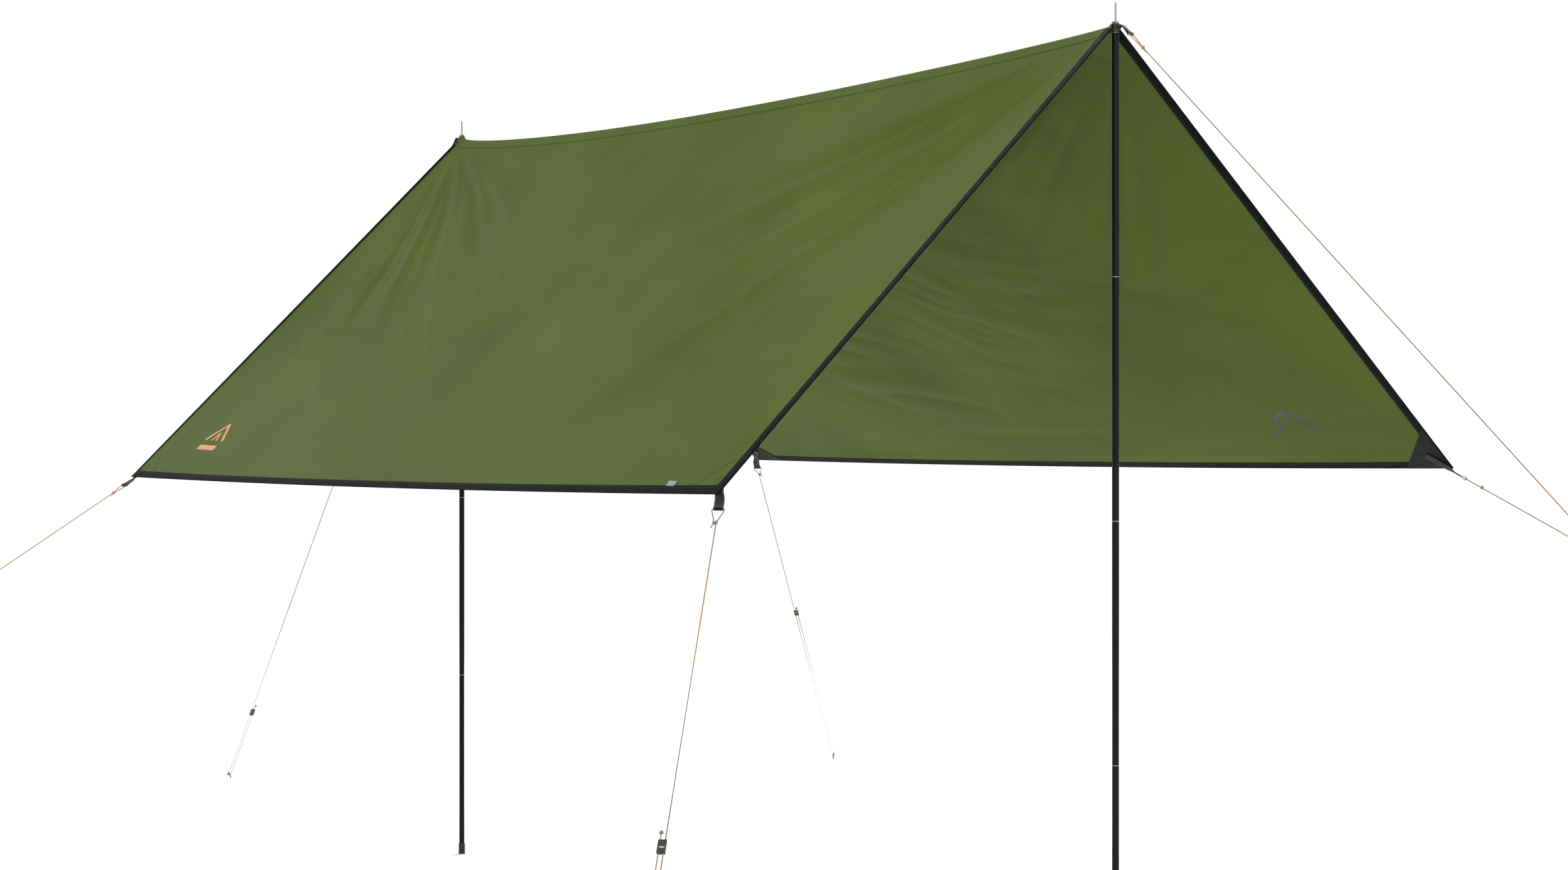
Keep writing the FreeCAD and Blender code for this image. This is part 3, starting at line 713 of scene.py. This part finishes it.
class TARP_OT_patches(bpy.types.Operator):
    """Add the corner patches and the patches under the peaks"""
    bl_idname = "tarp.patches"
    bl_label = "Reinforcement patches"

    def execute(self, context):
        look = context.scene.tarp_canopy
        material = tape_material("coated oxford patch", "131416", (), 1.3 * MM, 0.45, 0.0)
        cells = 16
        for side, word in SIDES:
            for end, (s_edge, way) in ENDS.items():
                verts, uvs, faces, index = [], [], [], {}
                for i in range(cells + 1):
                    for j in range(cells + 1 - i):
                        a = 1.5 * MM + (look.patch - 2 * MM) * i / cells
                        b = 1.5 * MM + (look.patch - 2 * MM) * j / cells
                        rim = 1.2 * MM if i + j > cells - 1 else 0.0
                        s, t = s_edge + way * a / RIDGE, 1 - b / look.width
                        index[i, j] = len(verts)
                        verts.append(sheet_point(side, s, t, -2.9 * MM + 0.5 * rim))
                        uvs.append((a, b))
                for i in range(cells):
                    for j in range(cells - i):
                        faces.append((index[i, j], index[i + 1, j], index[i, j + 1]))
                        if i + j < cells - 1:
                            faces.append((index[i + 1, j], index[i + 1, j + 1], index[i, j + 1]))
                patch = piece_from(end + "_" + word + "_patch", verts, faces, uvs, material)
                face_up(patch.data, False)
                thicken(patch, 0.7 * MM)
                finish_piece(patch, [end + "_" + word + "_corner_patch"], 50)

        material = cloth_material("PU coated polyester doubled cloth", (), 0.3)
        for end, (s_edge, way) in ENDS.items():
            rows, half = 14, 14
            verts, uvs = [], []
            for r in range(rows):
                reach = 23 * MM + 97 * MM * r / (rows - 1)
                for c in range(-half, half + 1):
                    side = -1 if c < 0 else 1
                    rounded = 1 - 0.25 * smooth(0.6, 1.0, r / (rows - 1))
                    w = 80 * MM * rounded * abs(c) / half
                    s, t = s_edge + way * reach / RIDGE, w / look.width
                    normal = facing(side, s, t) if c else UP
                    verts.append(base(side, s, t) + normal * (fold_height(side, s, t) - 3.4 * MM))
                    uvs.append((reach, side * w))
            patch = piece_from(end + "_peak_reinforcement", verts,
                               grid_faces(rows, 2 * half + 1), uvs, material)
            face_up(patch.data, False)
            thicken(patch, 0.7 * MM)
            finish_piece(patch, [end + "_peak_patch"], 50)
        return {"FINISHED"}


# ---------------------------------------------------------------- webbing
def rounded_path(points, rounds=3):
    """A smooth line through the runs between points: each round cuts the corners."""
    for _ in range(rounds):
        cut = [points[0]]
        for a, b in zip(points, points[1:]):
            cut += [tuple(x.lerp(y, share) for x, y in zip(a, b)) for share in (0.25, 0.75)]
        points = cut + [points[-1]]
    return points


def ribbon(name, stations, width, thick, material, folds=None):
    """Webbing along stations of (middle, across); folds gives each station's drop per unit aside."""
    half = 5
    section = [(k / half, 1) for k in range(-half, half + 1)]
    section += [(u, -1) for u, _ in reversed(section)]
    verts, uvs = [], []
    length = 0.0
    for i, (middle, across) in enumerate(stations):
        before = stations[max(i - 1, 0)][0]
        after = stations[min(i + 1, len(stations) - 1)][0]
        along = (after - before).normalized()
        aside = (across - along * across.dot(along)).normalized()
        normal = aside.cross(along)
        length += (middle - before).length
        drop = folds[i] if folds else 0.0
        for u, face in section:
            rim = 0.55 if abs(u) > 0.99 else 1.0
            w = u * width / 2
            verts.append(middle + aside * w + normal * (face * rim * thick / 2) - UP * abs(w) * drop)
            uvs.append((length, w + width / 2))
    columns = len(section)
    faces = grid_faces(len(stations), columns, closed=True)
    last = (len(stations) - 1) * columns
    for start in (0, last):
        for k in range(half * 2):
            faces.append((start + k, start + k + 1,
                          start + columns - 2 - k, start + columns - 1 - k))
    strap = piece_from(name, verts, faces, uvs, material)
    face_outwards(strap)
    return strap


def line_frame(name):
    """A line's eye, its direction, the level way across it, and the distance to its peg."""
    eye, down, reach, slider_up = LINES[name]
    eye, down = Vector(eye), Vector(down).normalized()
    return eye, down, down.cross(UP).normalized(), reach, slider_up


def loop_stations(eye, down, across, start, gap, thick):
    """Both layers of a loop's arm and its turn round the cord, from the sheet and back to it."""
    out = down.cross(across)
    turn = 2.0 * MM + thick
    stations = [(start + down * 8 * MM + out * gap, across),
                (eye - down * 14 * MM + out * gap, across)]
    for k in range(-2, 11):
        a = pi * k / 8
        stations.append((eye + down * (turn * sin(a)) + out * (turn * cos(a)), across))
    stations += [(eye - down * 14 * MM - out * gap, across),
                 (start + down * 8 * MM - out * gap, across)]
    return stations


class TARP_OT_webbing(bpy.types.Operator):
    """Add the webbing loops at the corners and over the poles"""
    bl_idname = "tarp.webbing"
    bl_label = "Webbing loops"

    def execute(self, context):
        rig = context.scene.tarp_rigging
        thick = rig.webbing_thick
        gap = thick * 0.55
        material = tape_material("woven polypropylene webbing", "0c0c0e",
                                 (2.2 * MM, rig.webbing - 2.2 * MM), 1.3 * MM, 0.55, 0.2, "2a2a2e")
        for name in LINES:
            eye, down, across, _, _ = line_frame(name)
            start = eye - down * 38 * MM
            if name.endswith("ridge"):
                end = name.split("_")[0]
                s_edge, way = ENDS[end]
                loop = loop_stations(eye, down, across, start, gap, thick)
                sheet_way = Vector((0, way, 0))
                east = Vector((-way, 0, 0)) if across.x * -way > 0 else Vector((way, 0, 0))

                def under(reach, drop):
                    p = base(1, s_edge + way * max(reach, 0.0) / RIDGE, 0.0)
                    if reach < 0:
                        p -= sheet_way * -reach
                    return (p - UP * drop, east)
                inside = [under(r * MM, 2.6 * MM) for r in (84, 60, 40, 25, 12, 4)]
                back = [under(-4 * MM, 3.4 * MM), under(10 * MM, 4.6 * MM),
                        under(24 * MM, 4.8 * MM)]
                path = rounded_path(inside + [under(-6 * MM, 1.4 * MM)] + loop + back, 2)
                # Past the peak the strap is folded over the ridge: it drops to each side.
                folds = [0.86 * smooth(-16 * MM, 4 * MM, way * (middle.y - s_edge * RIDGE))
                         for middle, _ in path]
                strap = ribbon(end + "_peak_webbing", path, 22 * MM, thick, material, folds)
                finish_piece(strap, [end + "_peak_strip"], 50)
                continue
            end, word = name.split("_")
            side = -1 if word == "left" else 1
            s_edge, way = ENDS[end]
            corner = base(side, s_edge, 1.0)
            along = (base(side, s_edge + way * 0.03, 1.0) - corner).normalized()
            slope = (base(side, s_edge, 0.94) - corner).normalized()
            normal = facing(side, s_edge, 1.0)
            inward = (along + slope).normalized()
            flat = inward.cross(normal)
            if flat.dot(across) < 0:
                flat = -flat

            def under(reach, depth):
                step = reach / sqrt(2)
                s, t = s_edge + way * step / RIDGE, 1 - step / context.scene.tarp_canopy.width
                return (base(side, s, t) + facing(side, s, t) * (fold_height(side, s, t) - depth), flat)
            strap = [under(r * MM, 4.6 * MM) for r in (74, 55, 40, 28, 16, 8)]
            back = [under(r * MM, 6.4 * MM) for r in (8, 18, 30, 42)]
            loop = loop_stations(eye, down, across, start, gap, thick)
            upper = down.cross(across)
            if upper.dot(normal) < 0:
                loop = loop[::-1]
            stations = rounded_path(strap + loop + back, 2)
            tab = ribbon(end + "_" + word + "_webbing", stations, rig.webbing, thick, material)
            finish_piece(tab, [name + "_tab"], 50)
        return {"FINISHED"}


# ---------------------------------------------------------------- small trim
def stitch_marks(name, lines, face, colour_material):
    """Raised lock stitches along lines of (side, s, t) pairs, on the outer (+1) or inner (-1) face."""
    look = bpy.context.scene.tarp_canopy
    verts, faces = [], []
    pitch, length, half = 4.2 * MM, 3.1 * MM, 0.35 * MM
    for side, (s0, t0), (s1, t1), depth in lines:
        run = hypot((s1 - s0) * RIDGE, (t1 - t0) * look.width)
        count = max(1, int(run / pitch))
        for k in range(count):
            a, b = (k + 0.1) * pitch / run, ((k + 0.1) * pitch + length) / run
            ends = []
            for f in (a, (a + b) / 2, b):
                s, t = s0 + (s1 - s0) * f, t0 + (t1 - t0) * f
                ends.append((sheet_point(side, s, t, face * depth), facing(side, s, t) * face))
            way = (ends[2][0] - ends[0][0]).normalized()
            aside = way.cross(ends[1][1]).normalized() * half
            start = len(verts)
            for n, (p, normal) in enumerate(ends):
                rise = 0.5 * MM if n == 1 else 0.1 * MM
                wide = 1.0 if n == 1 else 0.5
                verts += [p + aside * wide, p + normal * rise,
                          p - aside * wide, p - normal * 0.15 * MM]
            for r in range(2):
                for c in range(4):
                    faces.append((start + 4 * r + c, start + 4 * r + (c + 1) % 4,
                                  start + 4 * r + 4 + (c + 1) % 4, start + 4 * r + 4 + c))
            faces += [(start + 3, start + 2, start + 1, start),
                      (start + 8, start + 9, start + 10, start + 11)]
    marks = piece_from(name, verts, faces, None, colour_material)
    face_outwards(marks)
    return finish_piece(marks, (), 60)


class TARP_OT_stitching(bpy.types.Operator):
    """Add the raised stitches that hold the corner patches and straps"""
    bl_idname = "tarp.stitching"
    bl_label = "Corner stitching"

    def execute(self, context):
        look = context.scene.tarp_canopy
        thread = solid_material("bonded nylon thread", "1f2a14", "2a361b", 0.5, 1 * MM, bump=0.3)
        leg = look.patch - 5 * MM
        for side, word in SIDES:
            lines = []
            for s_edge, way in ENDS.values():
                def at(a, b, s_edge=s_edge, way=way):
                    return (s_edge + way * a / RIDGE, 1 - b / look.width)
                tape = look.tape
                lines += [(side, at(leg - tape, tape), at(tape, leg - tape), 0.1 * MM),
                          (side, at(leg - tape - 5 * MM, tape), at(tape, leg - tape - 5 * MM), 0.1 * MM)]
                c0, c1, h = 24 * MM, 48 * MM, 6.5 * MM
                box = [at(c0 - h, c0 + h), at(c0 + h, c0 - h), at(c1 + h, c1 - h), at(c1 - h, c1 + h)]
                lines += [(side, box[i], box[(i + 1) % 4], 1.2 * MM) for i in range(4)]
                lines += [(side, box[0], box[2], 1.2 * MM), (side, box[1], box[3], 1.2 * MM)]
            stitch_marks("corner_stitches_" + word, lines, 1, thread)
        return {"FINISHED"}


class TARP_OT_tag(bpy.types.Operator):
    """Add the small blank folded tag in the left eave's tape"""
    bl_idname = "tarp.tag"
    bl_label = "Blank tag"

    def execute(self, context):
        look = context.scene.tarp_canopy
        deselect()
        bpy.ops.mesh.primitive_cube_add(size=1.0)
        tag = context.object
        tag.name = tag.data.name = "blank_tag"
        bpy.ops.object.mode_set(mode="EDIT")
        bpy.ops.mesh.select_all(action="SELECT")
        bpy.ops.transform.resize(value=(30 * MM, 14 * MM, 1.2 * MM))
        bpy.ops.mesh.subdivide(number_cuts=5)
        bpy.ops.object.mode_set(mode="OBJECT")
        rim = tag.modifiers.new("Rim", "BEVEL")
        rim.width = 0.3 * MM
        rim.segments = 2
        rim.limit_method = "ANGLE"
        bpy.ops.object.modifier_apply(modifier=rim.name)
        s0, t0 = 0.20 / RIDGE, 1 - look.tape / look.width
        for v in tag.data.vertices:
            s, t = s0 + v.co.x / RIDGE, t0 - (v.co.y + 4 * MM) / look.width
            curl = 1.6 * MM * smooth(0, 7 * MM, v.co.y) + 0.5 * MM * sin(v.co.x / (5 * MM))
            v.co = sheet_point(-1, s, t, 1.7 * MM + v.co.z + curl)
        tag.data.materials.clear()
        tag.data.materials.append(
            solid_material("satin woven tag", "8b8e8c", "6e7170", 0.5, 1.2 * MM, bump=0.5))
        finish_piece(tag, ["care_label"], 40)
        return {"FINISHED"}


def print_on_sheet(name, shapes, side, s0, t0, lift, colour_material):
    """Thin ink shapes on the sheet: each is a list of outline points in metres from (s0, t0)."""
    look = bpy.context.scene.tarp_canopy
    made = bmesh.new()
    for outline in shapes:
        corners = [made.verts.new((x, y, 0)) for x, y in outline]
        made.faces.new(corners)
    bmesh.ops.triangulate(made, faces=made.faces[:])
    for _ in range(8):
        long = [e for e in made.edges if e.calc_length() > 9 * MM]
        if not long:
            break
        bmesh.ops.subdivide_edges(made, edges=long, cuts=1)
        bmesh.ops.triangulate(made, faces=made.faces[:])
    for v in made.verts:
        v.co = sheet_point(side, s0 + v.co.x / RIDGE, t0 - v.co.y / look.width, lift)
    mesh = bpy.data.meshes.new(name)
    made.to_mesh(mesh)
    made.free()
    face_up(mesh, lift > 0)
    piece = new_object(name, mesh)
    mesh.materials.append(colour_material)
    thicken(piece, 0.15 * MM, 0.0)
    return finish_piece(piece, (), 60)


def stroke(points, width):
    """A flat stroke along points, as quads' outlines."""
    shapes = []
    for a, b in zip(points, points[1:]):
        a, b = Vector((*a, 0)), Vector((*b, 0))
        aside = (b - a).cross(UP).normalized() * width / 2
        tip = (b - a).normalized() * width * 0.18
        corners = (a - tip + aside, a - tip - aside, b + tip - aside, b + tip + aside)
        shapes.append([tuple(p[:2]) for p in corners])
    return shapes


class TARP_OT_prints(bpy.types.Operator):
    """Add two plain printed shapes: a tent and bar outside, two chevrons inside"""
    bl_idname = "tarp.prints"
    bl_label = "Plain prints"

    def execute(self, context):
        orange = solid_material("orange screen print", "c9822a", "b87322", 0.5, 3 * MM, bump=0.1)
        black = solid_material("black screen print", "23281c", "1b2015", 0.5, 3 * MM, bump=0.1)
        bar = [(-52, -10), (52, -10), (56, -6), (56, 6), (52, 10), (-52, 10), (-56, 6), (-56, -6)]
        tent = stroke([(-55, 32), (0, 100), (55, 32)], 11) + stroke([(-14, 32), (0, 62), (14, 32)], 8)
        scale = [[(x * MM, y * MM) for x, y in shape] for shape in [bar] + tent]
        print_on_sheet("orange_print", scale, -1, 0.905, 0.905, 0.25 * MM, orange)
        marks = []
        for rise, size in ((0, 1.0), (52, 0.72)):
            marks += stroke([(-88 * size, rise), (0, rise + 66 * size), (88 * size, rise)], 11)
        marks = [[(x * MM, y * MM) for x, y in shape] for shape in marks]
        print_on_sheet("dark_print", marks, 1, 0.135, 0.90, -0.85 * MM, black)
        return {"FINISHED"}


# ---------------------------------------------------------------- guy lines
def cord_curve(name, points, radius, steps, closed=False):
    """A round cord on a smooth line with these points as its control points."""
    curve = bpy.data.curves.new(name, "CURVE")
    curve.dimensions = "3D"
    curve.bevel_depth = radius
    curve.bevel_resolution = 3
    curve.resolution_u = steps
    curve.use_fill_caps = True
    spline = curve.splines.new("NURBS")
    spline.points.add(len(points) - 1)
    for point, place in zip(spline.points, points):
        point.co = (*place, 1.0)
    spline.order_u = 3
    spline.use_cyclic_u = closed
    spline.use_endpoint_u = not closed
    return curve


def tube_mesh(name, points, radius, material):
    """A knot's cord: a mesh tube on a closed smooth line."""
    curve = cord_curve(name, points, radius, 3, closed=True)
    holder = new_object(name + "_line", curve)
    graph = bpy.context.evaluated_depsgraph_get()
    mesh = bpy.data.meshes.new_from_object(holder.evaluated_get(graph))
    bpy.data.objects.remove(holder)
    bpy.data.curves.remove(curve)
    piece = new_object(name, mesh)
    mesh.materials.clear()
    mesh.materials.append(material)
    return piece


def knot_points(middle, down, across, size):
    """An overhand knot pulled tight: a three-lobed line about the cord."""
    out = down.cross(across)
    points, count = [], 36
    for k in range(count):
        a = 2 * pi * k / count
        x, y, z = sin(a) + 2 * sin(2 * a), cos(a) - 2 * cos(2 * a), -sin(3 * a)
        points.append(middle + (across * x + out * y) * size + down * z * size * 1.9)
    return points


class TARP_OT_guy_lines(bpy.types.Operator):
    """Add the six guy lines, each with its knots, from webbing eye to peg and back to its slider"""
    bl_idname = "tarp.guy_lines"
    bl_label = "Guy lines"

    def execute(self, context):
        rig = context.scene.tarp_rigging
        material = cord_material()
        radius = rig.cord / 2
        wrap = 4.55 * MM
        for name in LINES:
            eye, down, across, reach, slider_up = line_frame(name)

            def at(aside, along):
                """A point beside the line: aside in mm, along in metres from the eye."""
                return eye + across * aside * MM + down * along
            end = reach - slider_up - 40 * MM
            near = 6 * rig.cord
            foot = reach + wrap
            route = [at(9.4, rig.knot + 16 * MM), at(3.4, rig.knot + 0.5 * MM), at(13.5, 5 * MM),
                     at(10.5, 0.0), at(-10.5, 0.0), at(-13.5, 5 * MM), at(0, rig.knot),
                     at(0, rig.knot + near), at(0, foot - near), at(0, foot), at(9.1, foot),
                     at(9.1, foot - near), at(9.1, end)]
            cord = new_object(name + "_cord", cord_curve(name + "_cord", route, radius, 12))
            cord.data.materials.append(material)
            tied = knot_points(at(1.2, rig.knot), down, across, 1.25 * MM)
            tie = tube_mesh(name + "_tie_knot", tied, radius, material)
            stopped = knot_points(at(9.1, end + 4 * MM), down, across, 1.15 * MM)
            stop = tube_mesh(name + "_stop_knot", stopped, radius, material)
            for piece in (tie, stop):
                finish_piece(piece, (), 60)
            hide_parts(name + "_guy_line")
            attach(cord, BODY)
        return {"FINISHED"}


class TARP_OT_hardware(bpy.types.Operator):
    """Give the poles, plugs, spikes, eyelets, sliders and pegs their finishes"""
    bl_idname = "tarp.hardware"
    bl_label = "Poles and hardware"

    def execute(self, context):
        finishes = {
            "_pole_section_": pole_material(),
            "_pole_foot": solid_material(
                "moulded rubber foot", "1a1a1b", "222224", 0.6, 1.5 * MM, bump=0.4),
            "_pole_plug": solid_material(
                "moulded black nylon plug", "151516", "1d1d1f", 0.42, 1 * MM, bump=0.25),
            "_pole_spike": solid_material(
                "zinc plated steel pin", "8d9094", "777a7e", 0.3, 0.8 * MM, 1.0, 0.15, stretch=0.1),
            "_eyelet": solid_material(
                "rolled zinc plated brass", "9a9ca0", "85888c", 0.3, 1 * MM, 1.0, 0.15),
            "_slider": solid_material(
                "moulded black acetal", "0f0f10", "17171a", 0.32, 0.8 * MM, bump=0.2, coat=0.15),
            "_peg": solid_material(
                "galvanised steel wire", "8e9190", "6f7271", 0.4, 2.5 * MM, 1.0, 0.3),
        }
        for node_name, node in frame["nodes"].items():
            for part, material in finishes.items():
                if part in node_name:
                    node.material_slots[0].material = material
        return {"FINISHED"}


class TARP_OT_declare(bpy.types.Operator):
    """Gather the pieces sewn to each panel; the lists are not used further"""
    bl_idname = "tarp.declare"
    bl_label = "Declare the sheets"

    def execute(self, context):
        objects = bpy.data.objects
        for side, word in SIDES:
            kinds = ("edge_tape_", "corner_stitches_",
                     "front_" + word + "_patch", "rear_" + word + "_patch")
            sewn = [o for o in objects if word in o.name and o.name.startswith(kinds)]
            if word == "left":
                sewn += [objects["ridge_seam"], objects["blank_tag"], objects["orange_print"]]
            else:
                sewn += [objects["dark_print"], objects["front_peak_reinforcement"],
                         objects["rear_peak_reinforcement"]]
        return {"FINISHED"}


# Soft square lights: name, place, what it is aimed at, side in metres, watts.
LAMPS = (("key", (-4.6, -8.0, 6.2), (-0.6, 1.2, 1.5), 2.0, 470.0),
         ("rake", (-2.5, 9.5, 5.2), (-0.6, 1.8, 1.7), 3.0, 90.0),
         ("back_sky", (6.0, 6.5, 6.0), (0.5, 2.0, 1.5), 3.5, 560.0))


class TARP_OT_stage(bpy.types.Operator):
    """Add the pale floor, the soft lights and the camera"""
    bl_idname = "tarp.stage"
    bl_label = "Stage"

    def execute(self, context):
        stage = context.scene.tarp_stage
        deselect()
        bpy.ops.mesh.primitive_plane_add(size=120.0, location=(0, 1.5, 0))
        floor = context.object
        floor.name = "floor"
        material, tree, shader, _ = start_material("matt painted floor")
        place = add(tree, PLACE).outputs["Object"]
        cloudy = add(tree, NOISE, {"Scale": 0.6, "Detail": 3.0}, {"Vector": place}).outputs["Fac"]
        pale = linear(look_colour("floor"))
        shade = tuple(c * 0.985 for c in pale[:3]) + (1.0,)
        paint = add(tree, MIX, {"data_type": "RGBA", 6: shade, 7: pale}, {0: cloudy}).outputs[2]
        feed(tree, shader, {"Base Color": paint}, {"Roughness": 0.9})
        floor.data.materials.append(material)

        world = bpy.data.worlds.new("soft studio")
        world.use_nodes = True
        sky = world.node_tree.nodes["Background"].inputs
        sky["Color"].default_value = (1.0, 1.0, 1.0, 1.0)
        sky["Strength"].default_value = 1.04
        context.scene.world = world
        for name, place, aim, size, power in LAMPS:
            light = bpy.data.lights.new(name, "AREA")
            light.size = size
            light.energy = power
            lamp = new_object(name, light)
            lamp.location = place
            lamp.rotation_euler = (Vector(aim) - Vector(place)).to_track_quat("-Z", "Y").to_euler()

        camera = bpy.data.cameras.new("camera")
        camera.sensor_width = 36.0
        camera.lens = stage.lens
        camera.clip_end = 500.0
        seat = new_object("camera", camera)
        seat.location = stage.camera
        seat.rotation_euler = (radians(90), 0.0, -stage.turn)
        context.scene.camera = seat
        context.scene.view_settings.view_transform = "Standard"
        return {"FINISHED"}


class TARP_PT_panel(bpy.types.Panel):
    """Lists the tarp's parts and settings"""
    bl_idname = "TARP_PT_panel"
    bl_label = "Tarp Shelter"
    bl_space_type = "VIEW_3D"
    bl_region_type = "UI"
    bl_category = "Tarp"

    def draw(self, context):
        layout = self.layout
        for settings in (context.scene.tarp_canopy, context.scene.tarp_rigging,
                         context.scene.tarp_colours, context.scene.tarp_stage):
            box = layout.box()
            for name in settings.__annotations__:
                box.prop(settings, name)
        for step in STEPS:
            layout.operator(step.bl_idname, text=step.bl_label)


STEPS = (TARP_OT_stage, TARP_OT_guy_lines, TARP_OT_panels, TARP_OT_ridge_band, TARP_OT_edge_tapes,
         TARP_OT_patches, TARP_OT_webbing, TARP_OT_stitching, TARP_OT_tag, TARP_OT_prints,
         TARP_OT_hardware, TARP_OT_declare)
GROUPS = {"tarp_canopy": TARP_PG_canopy, "tarp_rigging": TARP_PG_rigging,
          "tarp_colours": TARP_PG_colours, "tarp_stage": TARP_PG_stage}


def register():
    for group in (*GROUPS.values(), *STEPS, TARP_PT_panel):
        bpy.utils.register_class(group)
    for name, group in GROUPS.items():
        setattr(bpy.types.Scene, name, bpy.props.PointerProperty(type=group))


def unregister():
    for name in GROUPS:
        delattr(bpy.types.Scene, name)
    for group in (TARP_PT_panel, *STEPS, *reversed(GROUPS.values())):
        bpy.utils.unregister_class(group)


def main():
    register()
    deselect()
    for step in STEPS:
        group, name = step.bl_idname.split(".")
        getattr(getattr(bpy.ops, group), name)()


if __name__ == "__main__":
    main()
